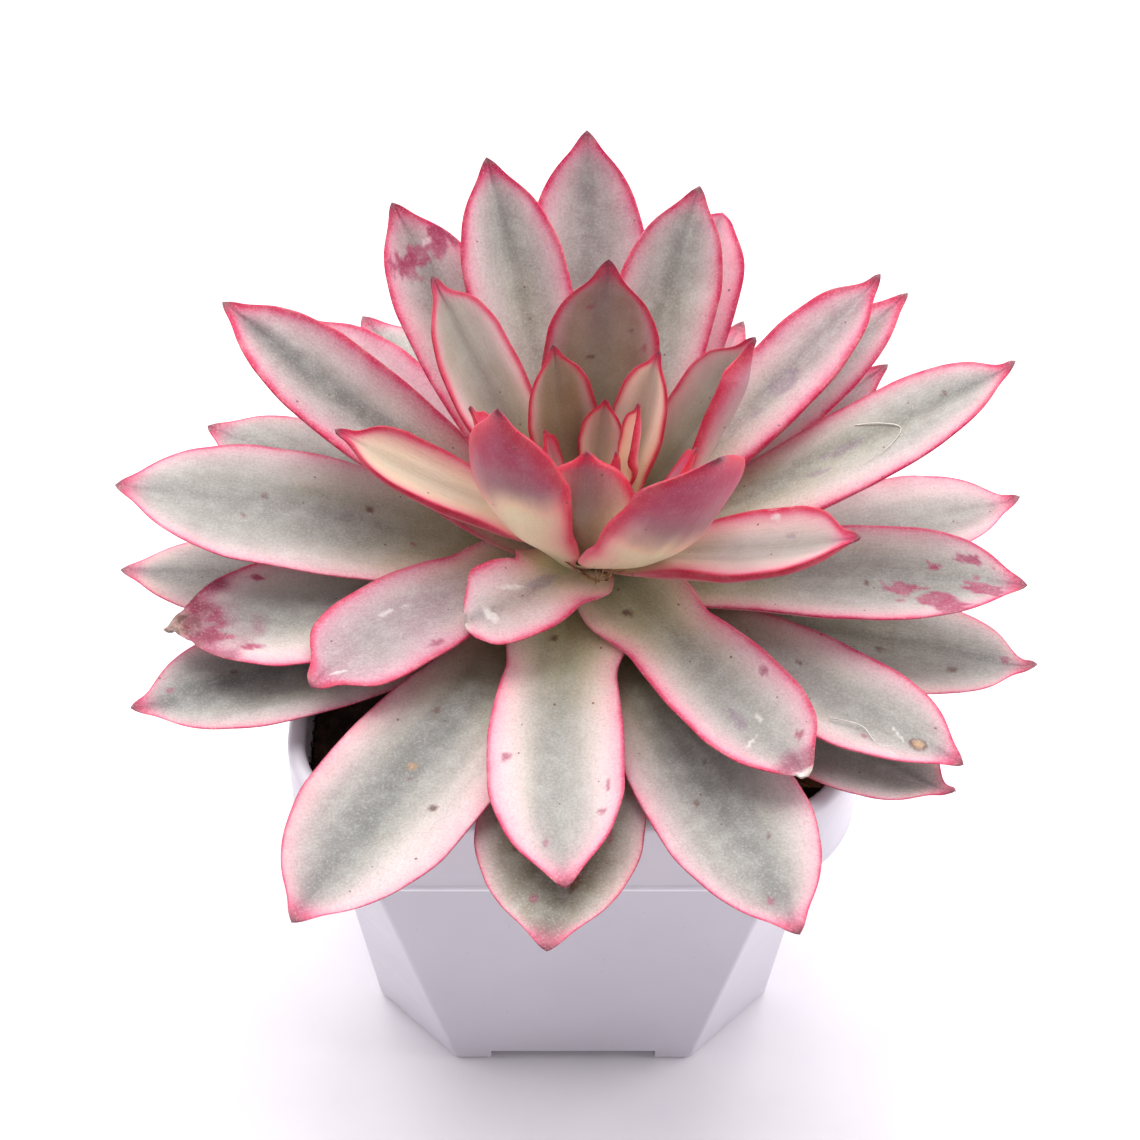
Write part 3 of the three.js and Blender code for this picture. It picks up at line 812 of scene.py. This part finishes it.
def pot_material():
    m = new_shader(
        "pot_plastic", Roughness=0.36, Subsurface_Weight=0.15, Subsurface_Scale=0.002,
        Subsurface_Radius=(1.0, 0.9, 1.0), Specular_IOR_Level=0.45,
    )
    cloud = m.noise(30, 3.0, 0.5)
    grain = m.noise(2600, 2.0, 0.6)
    scuff = m.noise(160, 5.0, 0.7, m.scaled(m.where(), (1, 1, 4)))
    speck = m.node("TexVoronoi", {"Vector": m.where(), "Scale": 260}).outputs["Distance"]
    colour = m.mix(m.ramp(cloud, 0.3, 0.7), light(217, 213, 222), light(210, 207, 216))
    colour = m.mix(m.ramp(scuff, 0.62, 0.8, 0.0, 0.25), colour, light(206, 202, 208))
    colour = m.mix(m.ramp(speck, 0.06, 0.03, 0.0, 0.5), colour, light(176, 160, 150))
    # Painted highlight: a pale band across the bead of the lower lip, standing in for the light it catches.
    height = m.axis(m.where(), "Z")
    lip_low = GROUND + RIM_FOOT + 0.35 * LIP
    rising = m.ramp(height, lip_low - 0.3 * MM, lip_low)
    falling = m.ramp(height, lip_low + 0.7 * MM, lip_low + 1.1 * MM, 1.0, 0.0)
    painted_lip_highlight = m.math("MULTIPLY", rising, falling)
    colour = m.mix(m.ramp(painted_lip_highlight, 0.0, 1.0, 0.0, 0.8), colour, light(250, 247, 252))
    m.set("Base Color", colour)
    m.set("Roughness", m.ramp(scuff, 0.3, 0.8, 0.3, 0.5))
    m.set("Normal", m.bump(grain, 0.12, 0.0001, m.bump(scuff, 0.1, 0.0003)))
    return m.owner


# ---------- soil, stem and debris ----------

SOIL_TOP = 78 * MM


def soil_bumps(points):
    bumps = 0.7 * noise(points / MM, 3.2, 11) + 0.55 * noise(points / MM, 1.3, 12)
    return np.clip(bumps, -1.4, 0.9) * MM


def soil_level(share):
    """Height of the smooth soil, where share is 0 at the pot and 1 in the middle."""
    return SOIL_TOP - 1.2 * MM + 2.1 * MM * min(1, share * 2.2)


def soil_height(x, y):
    reach = RIM_HALF - RIM_WALL
    level = soil_level(max(reach - max(abs(x), abs(y)), 0) / reach)
    return level + soil_bumps(np.array([on_pot(x, y, level)]))[0]


def build_soil():
    gap = 0.4 * MM
    edge = RIM_WALL + gap
    loops = [wall_loop(FLOOR_TOP + gap, WALL + gap)]
    loops += [wall_loop(h, WALL + gap) for h in arc_steps(12 * MM, RIM_FOOT, 4)]
    loops.append(rim_loop(edge + 1 * MM, LEDGE + gap))
    loops.append(rim_loop(edge, LEDGE + 1.2 * MM))
    loops.append(rim_loop(edge, SOIL_TOP - 1.6 * MM))
    for i in range(1, 34):
        share = i / 34
        inset = edge + (RIM_HALF - edge) * share
        half = RIM_HALF - inset
        radius = max(RIM_RADIUS - inset, 0.62 * half)
        loops.append(four_corners(corner_arc(half, radius), soil_level(share)))
    soil = loft("soil_bed", loops, on_pot(0, 0, FLOOR_TOP + gap), on_pot(0, 0, SOIL_TOP + 0.9 * MM))
    co = np.array([v.co for v in soil.data.vertices])
    high = smoothstep(SOIL_TOP - 1.8 * MM, SOIL_TOP - 1.0 * MM, co[:, 2] - GROUND)
    co[:, 2] += high * soil_bumps(co)
    soil.data.vertices.foreach_set("co", co.ravel())
    return soil


def lump(rng, centre, size, flat):
    """One ragged crumb: a jittered, squashed and turned ball."""
    points, faces = BALL
    jitter = points * (1 + 0.28 * rng.standard_normal((len(points), 1)))
    jitter *= np.array([1, 0.6 + 0.5 * rng.random(), flat])
    spin = rng.standard_normal((3, 3))
    spin, _ = np.linalg.qr(spin)
    if np.linalg.det(spin) < 0:
        spin[0] *= -1
    return jitter @ spin.T * size + centre, faces


def make_ball():
    """The points and faces of an icosphere of radius 1."""
    bm = bmesh.new()
    bmesh.ops.create_icosphere(bm, subdivisions=2, radius=1)
    points = np.array([v.co for v in bm.verts])
    faces = [[v.index for v in f.verts] for f in bm.faces]
    bm.free()
    return points, faces


BALL = make_ball()
CRUMBS = 900
STEM_CLEARANCE = 9.5 * MM
CRUMB_TINTS = (  # peat, bark, char and perlite, with the share of all crumbs up to each
    (0.55, rgb(56, 42, 34)), (0.85, rgb(92, 62, 42)), (0.97, rgb(30, 24, 22)), (1.0, rgb(214, 206, 190)),
)


def build_crumbs():
    """Bark, peat and perlite crumbs on the soil, with some stuck to the inside of the rim."""
    rng = np.random.default_rng(7)
    points, faces, colours = [], [], []
    count = 0
    reach = RIM_HALF - RIM_WALL - 1.6 * MM
    straight = RIM_HALF - RIM_RADIUS
    for n in range(CRUMBS):
        stuck = n % 5 == 0
        x, y = rng.uniform(-reach, reach, 2)
        size = float(np.clip(rng.lognormal(-0.35, 0.5), 0.3, 1.9)) * MM
        lift = 0
        buried = rng.uniform(-0.35, 0.3)
        if stuck:
            side = rng.integers(4)
            size *= 0.55
            wall = RIM_HALF - RIM_WALL - size * 0.4
            x, y = ((wall, y), (-wall, y), (x, wall), (x, -wall))[side]
            if min(abs(x), abs(y)) > straight:
                continue
            lift = min(abs(rng.normal(0, 2.4)), 6.5) * MM
        else:
            into_corner = hypot(max(abs(x) - straight, 0), max(abs(y) - straight, 0))
            if into_corner > RIM_RADIUS - RIM_WALL - 2 * MM:
                continue
        where = np.array(on_pot(x, y, soil_height(x, y) + buried * size + lift))
        if np.hypot(*(where[:2] - STEM_AXIS)) < STEM_CLEARANCE + size:
            continue
        p, f = lump(rng, where, size, rng.uniform(0.4, 0.9))
        kind = rng.random()
        tint = next(colour for most, colour in CRUMB_TINTS if kind <= most)
        points.append(p)
        faces += [[i + count for i in face] for face in f]
        colours.append(np.tile(tint, (len(p), 1)))
        count += len(p)
    crumbs = new_object("soil_crumbs", np.concatenate(points), faces, smooth=False)
    add_colour(crumbs, np.concatenate(colours))
    return crumbs


# height and radius in mm
STEM_PROFILE = [(0, 5), (6, 8.2), (20, 8.2), (34, 7.2), (41, 5.4), (46, 3.1), (49.6, 1.2)]


def build_stem():
    z, r = np.array(STEM_PROFILE).T
    heights = np.linspace(0, z[-1], 90)
    radii = through(z, r, heights, clamp=True)
    turns = full_turn(72)
    loops = []
    for height, radius in zip(heights, radii):
        ring = np.stack([np.cos(turns) * radius, np.sin(turns) * radius, np.full(len(turns), height)], axis=1)
        grow = 1 - 0.05 * np.abs(noise(ring * [1, 1, 2.2], 2.4, 31)) - 0.03 * np.abs(noise(ring, 0.9, 32))
        loops.append([
            (STEM_AXIS[0] + x * g * MM, STEM_AXIS[1] + y * g * MM, STEM_LOW.z + h * MM)
            for (x, y, h), g in zip(ring, grow)
        ])
    foot = (*STEM_AXIS, STEM_LOW.z)
    tip = (*STEM_AXIS, STEM_HIGH.z - 0.1 * MM)
    return loft("stem_bark", loops, foot, tip)


def ground_material(name, dark, pale, scale, paint=False):
    m = new_shader(name, Roughness=0.92)
    clump = m.noise(scale, 5.0, 0.65)
    grain = m.noise(scale * 7, 3.0, 0.6)
    colour = m.mix(m.ramp(clump, 0.35, 0.68), light(*dark), light(*pale))
    if paint:
        own = m.own("paint", "Color")
        colour = m.mix(0.75, colour, own)
    colour = m.mix(m.ramp(grain, 0.5, 0.75, 0.0, 0.5), colour, light(28, 20, 16))
    m.set("Base Color", colour)
    m.set("Normal", m.bump(grain, 0.6, 0.0005, m.bump(clump, 0.6, 0.0012)))
    return m.owner


def dry_material():
    m = new_shader("dry_leaf_skin", Roughness=0.8)
    place = m.own("place", "Vector")
    drawn = m.scaled(place, (1, 0.2, 1))
    vein = m.noise(1400, 3.0, 0.6, drawn)
    patch = m.noise(300, 3.0, 0.6)
    colour = m.mix(m.ramp(patch, 0.35, 0.65), light(112, 74, 46), light(168, 118, 76))
    colour = m.mix(m.ramp(vein, 0.5, 0.7, 0.0, 0.6), colour, light(70, 44, 30))
    m.set("Base Color", colour)
    m.set("Normal", m.bump(vein, 0.6, 0.0004))
    return m.owner


# ---------- the looks of each leaf ----------

# Each group of leaves: what it changes in Look, and what each leaf changes in that.
LOOKS = {
    "lower_leaf": (dict(stripe=0.66, pink=1.6, edge=0.25, rim=0.25), {
        "front": dict(stripe=0.72, edge=0.22, olive=1, brown=0.65, salmon=0.95, under_red=0.2, lift=0.92,
            scars=[
            (0.8, -0.3, 2.4, "bark", 0.3, 70), (0.86, 0.3, 0.8, "purple"), (0.72, 0.5, 0.7, "dot"),
            (0.66, -0.6, 2, "purple", 0.25, 80),
        ]),
        "front_right": dict(shift=0.05, dark=0.75, pink=2.6, edge=0.3, lift=0.96, rim=0.3, scars=[
            (0.6, 0.3, 0.6, "dot"), (0.75, -0.3, 0.5, "dot"), (0.9, 0.2, 0.7, "purple"),
            (0.5, -0.1, 0.5, "dot"),
        ]),
        "right_front": dict(stripe=0.78, dark=0.4, pink=1.3, edge=0.24, olive=0.8, salmon=0.9, spike=0.5,
            hook=1.4),
        "right": dict(stripe=0.75, edge=0.24, olive=0.9, salmon=0.8, spike=0.45, hook=1.2, scars=[
            (0.38, -0.35, 1.1, "tan"), (0.62, 0.15, 0.8, "dot"), (0.8, 0.35, 0.8, "dot"),
            (0.5, -0.5, 0.6, "dot"), (0.92, -0.2, 0.9, "purple"),
        ]),
        "right_rear": dict(stripe=0.6, dark=0.4, pink=3, spike=0.35, hook=0.8),
        "rear_right": dict(stripe=0.62, pink=2, edge=0.5, blush=0.35, rim=0.5),
        "rear_inner": dict(stripe=0.62, pink=2.5, edge=0.5, blush=0.5, rim=0.5),
        "rear_left": dict(stripe=0.7, pink=1.2, olive=0.4, rim=0.5),
        "left_rear": dict(stripe=0.75, pink=1.4, salmon=0.6),
        "left": dict(pink=2, edge=0.22, olive=0.6, salmon=0.95, lift=1.02, rim=0.2),
        "left_front": dict(stripe=0.72, dark=1, pink=1.8, edge=0.3, salmon=0.5, spike=0.3, lift=0.9,
            rim=0.3, hook=0.6, scars=[
            (0.5, -0.3, 0.6, "dot"), (0.75, 0.2, 0.6, "dot"), (0.9, 0.3, 0.8, "purple"),
        ]),
        "front_left": dict(shift=0.15, dark=1, pink=3.6, edge=0.26, salmon=0.5, lift=0.96, scars=[
            (0.62, -0.45, 0.9, "dot"), (0.55, 0.1, 0.8, "tan"), (0.58, 0.02, 0.6, "dot"),
            (0.4, 0.35, 0.7, "dot"), (0.3, -0.3, 0.6, "dot"),
        ]),
    }),
    "middle_leaf": (dict(stripe=0.6, pink=3.2, edge=0.45), {
        "front": dict(stripe=0.55, dark=0.4, olive=0.9, lift=1.05, rim=0.35, flare=1, scars=[
            (0.18, 0.3, 0.6, "dot"), (0.86, 0.3, 0.6, "purple"), (0.7, -0.75, 0.9, "purple", 0.5, 80),
            (0.78, -0.7, 0.7, "purple"), (0.6, 0.72, 0.8, "purple"),
        ]),
        "front_right": dict(stripe=0.62, pink=2.4, edge=0.4, rim=0.3, scars=[
            (0.88, 0.15, 1.3, "tan"), (0.33, -0.2, 0.9, "tan"), (0.3, 0.1, 0.75, "tan"),
            (0.5, -0.3, 0.6, "dot"), (0.76, 0.5, 0.6, "purple"), (0.82, 0.1, 2.2, "white", 0.12, 60),
        ]),
        "right": dict(stripe=0.68, dark=0.4, pink=2, rim=0.4, scars=[
            (0.82, 0.72, 6, "stain", 0.4, 72), (0.7, 0.2, 3.4, "stain", 0.4, 80),
            (0.9, 0.3, 3.4, "stain", 0.5, 70), (0.86, -0.55, 3.2, "stain", 0.3, 75),
            (0.76, -0.3, 1.8, "stain", 0.4, 80), (0.6, 0.1, 0.6, "dot"),
        ]),
        "right_rear": dict(stripe=0.5, pink=2.4, edge=0.8),
        "rear_right": dict(stripe=0.45, pink=4, edge=0.8, blush=0.4, point=0, lift=1.08),
        "rear": dict(shift=0.1, edge=0.7, mauve=0.1, olive=0.2),
        "rear_left": dict(pink=3.6, edge=0.7, blush=0.05, scars=[
            (0.84, 0.05, 5, "stain", 0.45, 12), (0.83, -0.45, 3, "stain", 0.6, 0),
            (0.86, 0.35, 1.4, "white", 0.4, 20), (0.72, 0.6, 0.6, "dot"),
        ]),
        "left_rear": dict(stripe=0.5, pink=3, edge=0.6, blush=0.35, mauve=0.35, scars=[
            (0.45, 0.1, 2.4, "white", 0.14, 70), (0.36, -0.1, 1.8, "white", 0.16, 30),
        ]),
        "left": dict(stripe=0.68, pink=2.2, edge=0.4, rim=0.35, scars=[
            (0.7, -0.2, 0.6, "dot"), (0.66, 0.2, 0.6, "dot"), (0.42, 0.3, 0.7, "dot"),
            (0.3, -0.2, 0.6, "purple"),
        ]),
        "left_front": dict(dark=0.4, pink=2.6, edge=0.5, point=0, rim=0.4, crumple=0.085, stain=0.85,
            scars=[
            (0.89, -0.35, 4.4, "stain", 0.6, 80), (0.9, 0.4, 3.6, "stain", 0.7, 60),
            (0.93, 0, 2.4, "bark", 0.8, 0), (0.78, -0.6, 1.8, "stain", 0.4, 80),
            (0.74, 0.75, 1.2, "stain", 0.5, 80),
        ]),
    }),
    "upper_leaf": (dict(stripe=0.6, pink=2.4, edge=0.7, deep=0.2), {
        "front_right": dict(pink=2.8, point=0, lift=1.03, flare=1, crumple=0.035, stain=0.6, bleach=0.9,
            scars=[
            (0.14, 0.4, 0.8, "bark"), (0.6, -0.75, 1, "purple"), (0.74, -0.1, 2.4, "white", 0.1, 75),
            (0.8, 0.35, 1.8, "white", 0.12, 20), (0.86, -0.5, 1, "purple"),
            (0.7, 0.2, 2.6, "bruise", 0.5, 80),
        ]),
        "right": dict(stripe=0.62, shift=-0.1, dark=0.55, pink=1.8, edge=0.6, salmon=0.6, spike=0.35,
            hook=0.8, scars=[
            (0.55, -0.1, 4, "bruise", 0.25, 85), (0.48, 0.15, 3, "bruise", 0.2, 80),
            (0.2, 0.2, 0.6, "dot"), (0.82, -0.2, 0.6, "dot"),
        ]),
        "right_rear": dict(stripe=0.5, edge=0.9, blush=0.1, mauve=0.1, spike=0.35, hook=0.8, scars=[
            (0.6, 0.1, 3.4, "bruise", 0.6, 70), (0.64, 0, 1.6, "bruise", 0.5, 40),
            (0.5, 0.2, 1.8, "bruise", 0.3, 80),
        ]),
        "rear_right": dict(dark=0.4, pink=2, salmon=0.7),
        "rear_left": dict(shift=0.12, dark=0.4, pink=2.2, lift=1.05),
        "left_rear": dict(stripe=0.5, dark=0.8, edge=1, olive=0.2, lift=0.94),
        "left_front": dict(dark=0.4, pink=2, edge=0.8, blush=0.2, mauve=0.35, point=0.6, spike=0.4,
            lift=0.95, flare=0.9, scars=[
            (0.9, -0.2, 1.6, "white", 0.2, 60), (0.55, -0.75, 1.8, "purple", 0.4, 85),
            (0.6, 0.3, 3.4, "white", 0.08, 80), (0.3, 0.1, 0.6, "dot"),
        ]),
        "front_short": dict(stripe=0.4, edge=0.8, blush=0.25, olive=1, point=0, flare=1.1, crumple=0.05,
            stain=0, bleach=0.9, scars=[
            (0.55, 0.3, 3.2, "white", 0.2, 60), (0.8, -0.1, 2.6, "white", 0.3, 10),
            (0.3, 0.1, 3.6, "bruise", 0.4, 80),
        ]),
    }),
    "inner_leaf": (dict(edge=0.9, spike=0.45, deep=0.8), {
        "left": dict(stripe=0.25, pink=1.4, edge=0.8, cream=0.85, under_red=0.4, flare=0.6),
        "rear_left": dict(stripe=0.7, pink=1.2, olive=1, brown=0.4, taper=0.1, lift=1.1, rim=0.25,
            gold=0.3),
        "rear": dict(stripe=0.85, dark=0.6, pink=0.7, red=0.1, olive=1, brown=0.75, spike=0.35, taper=0.18,
            lift=1.05, rim=0.25, gold=0.4, scars=[
            (0.72, 0.45, 0.5, "dot"), (0.6, -0.2, 0.5, "dot"), (0.8, -0.3, 0.5, "purple"),
            (0.66, 0.7, 0.6, "purple"),
        ]),
        "rear_right": dict(stripe=0.6, dark=0.6, pink=1.8, edge=0.55, olive=1, brown=0.4, salmon=0.8,
            spike=0.4, rim=0.3, fold=3, gold=0.3),
        "right": dict(stripe=0.5, pink=2, cream=0.3, olive=1, under_red=0.8, spike=0.4, flare=0.8,
            twist=0.35, scars=[
            (0.62, -0.8, 0.9, "white"), (0.7, -0.3, 1.2, "bruise", 0.3, 70),
        ]),
        "front_right": dict(edge=1, cream=1, red=0.2, under_red=1, spike=0, round=0.3, lift=1.08,
            flare=0.3, full=0.85),
        "front_left": dict(edge=1, cream=1, red=0.25, under_red=1, spike=0.2, taper=0.4, lift=1.08,
            flare=0.3, full=0.8),
    }),
    "heart_leaf": (dict(edge=0.7, spike=0.5, rim=0.15, gold=1, deep=0.9), {
        "1": dict(edge=1.2, cream=0.3, red=0.6, under_red=0.9, rim=0.5, gold=0),
        "2": dict(edge=1.4, red=0.8, under_red=1, rim=0.5, gold=0),
        "3": dict(stripe=0.5, pink=0.9, cream=0.4, olive=1, brown=0.8, salmon=1, spike=0.35, taper=0.3,
            lift=1.1),
        "4": dict(stripe=0.8, dark=0.3, pink=0.6, olive=1, brown=0.95, spike=0.35, taper=0.3, lift=1.05),
        "5": dict(edge=0.6, cream=0.3, red=0.1, olive=1, brown=0.8, under_red=0.45, spike=0.3, taper=0.55,
            lift=0.92, flare=0.3, full=0.7),
        "6": dict(edge=0.6, cream=0.9, red=0.1, under_red=0.6, lift=1.15, gold=0.9),
        "7": dict(pink=0.5, edge=0.6, cream=0.2, red=0.05, olive=1, brown=0.75, spike=0.35, taper=0.3,
            lift=1.12),
        "8": dict(cream=0.5, red=0.5, under_red=0.9, rim=0.5, gold=0.5),
        "9": dict(cream=0.5, red=0.5, under_red=0.9, rim=0.5, gold=0.5),
    }),
}

OUTER = leaf_material("outer_leaf_skin", 0.16, 1.0, 0.52)
INNER = leaf_material("inner_leaf_skin", 0.07, 0.4, 0.46)
HEART = leaf_material("heart_leaf_skin", 0.05, 0.35, 0.44)


def place_piece(obj, node, slot, material):
    obj.data.materials.clear()
    obj.data.materials.append(material)
    if node:
        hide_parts(node)
    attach(obj, "root")


SKINS = {"inner_leaf": ("inner_leaf", INNER), "heart_leaf": ("heart_leaf", HEART)}
for leaf_group, (shared_look, own_looks) in LOOKS.items():
    leaf_slot, leaf_skin = SKINS.get(leaf_group, ("outer_leaf", OUTER))
    for leaf_place, own_look in own_looks.items():
        leaf_node = f"{leaf_group}_{leaf_place}"
        leaf_look = Look(**{**shared_look, **own_look})
        place_piece(build_leaf(leaf_node, leaf_look), leaf_node, leaf_slot, leaf_skin)

place_piece(build_leaf("dry_leaf", Look(point=0.3, crumple=0.9)), "dry_leaf", "dry_leaf", dry_material())
place_piece(build_pot(), "pot", "pot", pot_material())
SOIL_SKIN = ground_material("soil_mix", (40, 28, 22), (84, 60, 44), 260)
place_piece(build_soil(), "soil", "soil", SOIL_SKIN)
CRUMB_SKIN = ground_material("soil_crumb_mix", (44, 32, 26), (96, 70, 50), 300, paint=True)
place_piece(build_crumbs(), None, "soil", CRUMB_SKIN)
place_piece(build_stem(), "stem", "stem", ground_material("stem_bark", (120, 108, 74), (176, 164, 122), 220))


# ---------- dry fibres ----------

def tube(path, radius, sides=7):
    """Points and faces of a closed, tapering tube along a path of points."""
    path = np.asarray(path, float)
    ahead = unit(np.gradient(path, axis=0))
    points, faces = [], []
    side = np.array([0.3, 0.5, 0.8])
    for n, (p, d) in enumerate(zip(path, ahead)):
        side = unit(side - d * np.dot(side, d))
        other = np.cross(d, side)
        r = radius * (1 - 0.7 * (n / (len(path) - 1)) ** 2)
        for v in full_turn(sides):
            points.append(p + r * (cos(v) * side + sin(v) * other))
    for n in range(len(path) - 1):
        for k in range(sides):
            a, b = n * sides + k, n * sides + (k + 1) % sides
            faces.append([a, b, b + sides, a + sides])
    faces.append(list(range(sides))[::-1])
    faces.append([(len(path) - 1) * sides + k for k in range(sides)])
    return points, faces


def joined(name, parts):
    points, faces = [], []
    for p, f in parts:
        faces += [[i + len(points) for i in face] for face in f]
        points += list(p)
    return new_object(name, points, faces)


def build_crown_fibres():
    """Dry threads left where a flower stalk and old leaves came away, at the front of the stem."""
    rng = np.random.default_rng(21)
    start = np.array([STEM_AXIS[0] + 1.9 * MM, STEM_AXIS[1] - 11.6 * MM, STEM_LOW.z + 42.2 * MM])
    parts = []
    for n in range(9):
        turn = rng.uniform(-0.4, 3.4)
        ahead = np.array([cos(turn), 0.5 * sin(turn), rng.uniform(0.1, 1.0)])
        curl = rng.standard_normal(3) * 0.7
        length = rng.uniform(2.2, 4.4) * MM
        steps = np.linspace(0, 1, 12)[:, None]
        path = start + rng.standard_normal(3) * 0.5 * MM + length * (steps * ahead + steps ** 2 * curl * 0.6)
        parts.append(tube(path, rng.uniform(0.13, 0.32) * MM))
    return joined("crown_fibres", parts)


def on_leaf(form, along, across, height):
    centre, left, up, half, curl, thick = form.at(np.array([along, 1.0]))
    angle = curl[0] * across
    depth = TOP_SHARE * thick[0] * sqrt(1 - across * across) + height
    out = half[0] * sin(angle) / curl[0] - depth * sin(angle)
    rise = half[0] * (1 - cos(angle)) / curl[0] + depth * cos(angle)
    return centre[0] - left[0] * out + up[0] * rise


def build_leaf_thread(node, places):
    """A fine curled thread of dust lying on a leaf, through places given as along, across."""
    form = LeafForm(node)
    steps = np.linspace(0, len(places) - 1, 60)
    along, across = (through(np.arange(len(places)), values, steps) for values in np.array(places).T)
    lift = 0.35 + 0.15 * np.sin(steps * 2.2)
    path = [on_leaf(form, a, b, h * MM) for a, b, h in zip(along, across, lift)]
    return joined(node + "_thread", [tube(path, 0.11 * MM, 6)])


def thread_material(name, dark, pale):
    m = new_shader(name, Roughness=0.75)
    patch = m.noise(900, 3.0, 0.6)
    m.set("Base Color", m.mix(m.ramp(patch, 0.35, 0.65), light(*dark), light(*pale)))
    m.set("Normal", m.bump(patch, 0.4, 0.0002))
    return m.owner


DRY_FIBRE = thread_material("dry_fibre", (112, 80, 52), (196, 164, 120))
place_piece(build_crown_fibres(), None, "dry_leaf", DRY_FIBRE)
DUST_THREAD = thread_material("dust_thread", (214, 208, 202), (248, 244, 240))
place_piece(
    build_leaf_thread("upper_leaf_right", [(0.6, -0.45), (0.66, -0.2), (0.7, 0.1), (0.66, 0.4), (0.6, 0.5)]),
    None, "outer_leaf", DUST_THREAD,
)
place_piece(
    build_leaf_thread("middle_leaf_front_right", [(0.66, 0.5), (0.74, 0.35), (0.8, 0.6), (0.84, 0.5)]),
    None, "outer_leaf", DUST_THREAD,
)


# ---------- floor, light and camera ----------

FLOOR_REACH = 3.0
FLOOR_GAP = 0.2 * MM


def build_floor():
    far = FLOOR_REACH
    corners = [(-far, -far, 0), (far, -far, 0), (far, far, 0), (-far, far, 0)]
    floor = new_object("floor", corners, [(0, 1, 2, 3)])
    floor.location.z = GROUND - FLOOR_GAP
    m = new_shader("floor_paper", Roughness=0.9)
    m.set("Base Color", m.mix(m.ramp(m.noise(60, 3.0), 0.3, 0.7), light(252, 249, 252), light(247, 244, 249)))
    floor.data.materials.append(m.owner)


def area_light(name, place, target, size, power, colour=(1, 1, 1)):
    lamp = bpy.data.lights.new(name, "AREA")
    lamp.shape = "RECTANGLE"
    lamp.size, lamp.size_y = size
    lamp.energy = power
    lamp.color = colour
    obj = bpy.data.objects.new(name, lamp)
    obj.location = place
    obj.rotation_euler = (Vector(target) - Vector(place)).to_track_quat("-Z", "Y").to_euler()
    bpy.context.scene.collection.objects.link(obj)


build_floor()
area_light("overhead", on_pot(-0.05, 0.45, 0.9), on_pot(0, 0, 0.1), (1.3, 1.0), 15.0, (1.0, 0.985, 0.975))
area_light("left_panel", on_pot(-0.9, 0.1, 0.45), on_pot(0, 0, 0.08), (0.8, 0.6), 2.7, (1.0, 0.99, 1.0))
area_light("right_panel", on_pot(0.9, 0.1, 0.45), on_pot(0, 0, 0.08), (0.8, 0.6), 5.0, (1.0, 0.99, 1.0))


def build_world():
    """A pale room that is dimmer on the front side, where the viewer stands."""
    world = bpy.data.worlds.new("studio")
    m = Shader(world, "Background", Color=(0.98, 0.95, 1.0, 1.0))
    direction = m.node("TexCoord").outputs["Generated"]
    m.set("Strength", m.ramp(m.axis(direction, "Y"), -0.9, 0.5, 0.3, 0.57))
    bpy.context.scene.world = world


build_world()

CAMERA_TARGET = Vector(on_pot(-0.6 * MM, 0, 98 * MM))
CAMERA_DISTANCE = 466 * MM
CAMERA_ELEVATION = radians(45.9)
CAMERA_LENS = 82.1
camera_data = bpy.data.cameras.new("camera")
camera_data.lens = CAMERA_LENS
camera_data.sensor_width = 36
camera_data.clip_start = 0.01
camera = bpy.data.objects.new("camera", camera_data)
back = Vector((0, -cos(CAMERA_ELEVATION), sin(CAMERA_ELEVATION)))
camera.location = CAMERA_TARGET + back * CAMERA_DISTANCE
camera.rotation_euler = (-back).to_track_quat("-Z", "Y").to_euler()
bpy.context.scene.collection.objects.link(camera)
bpy.context.scene.camera = camera

view = bpy.context.scene.view_settings
view.view_transform = "Standard"
view.look = "None"
view.exposure = 0.0
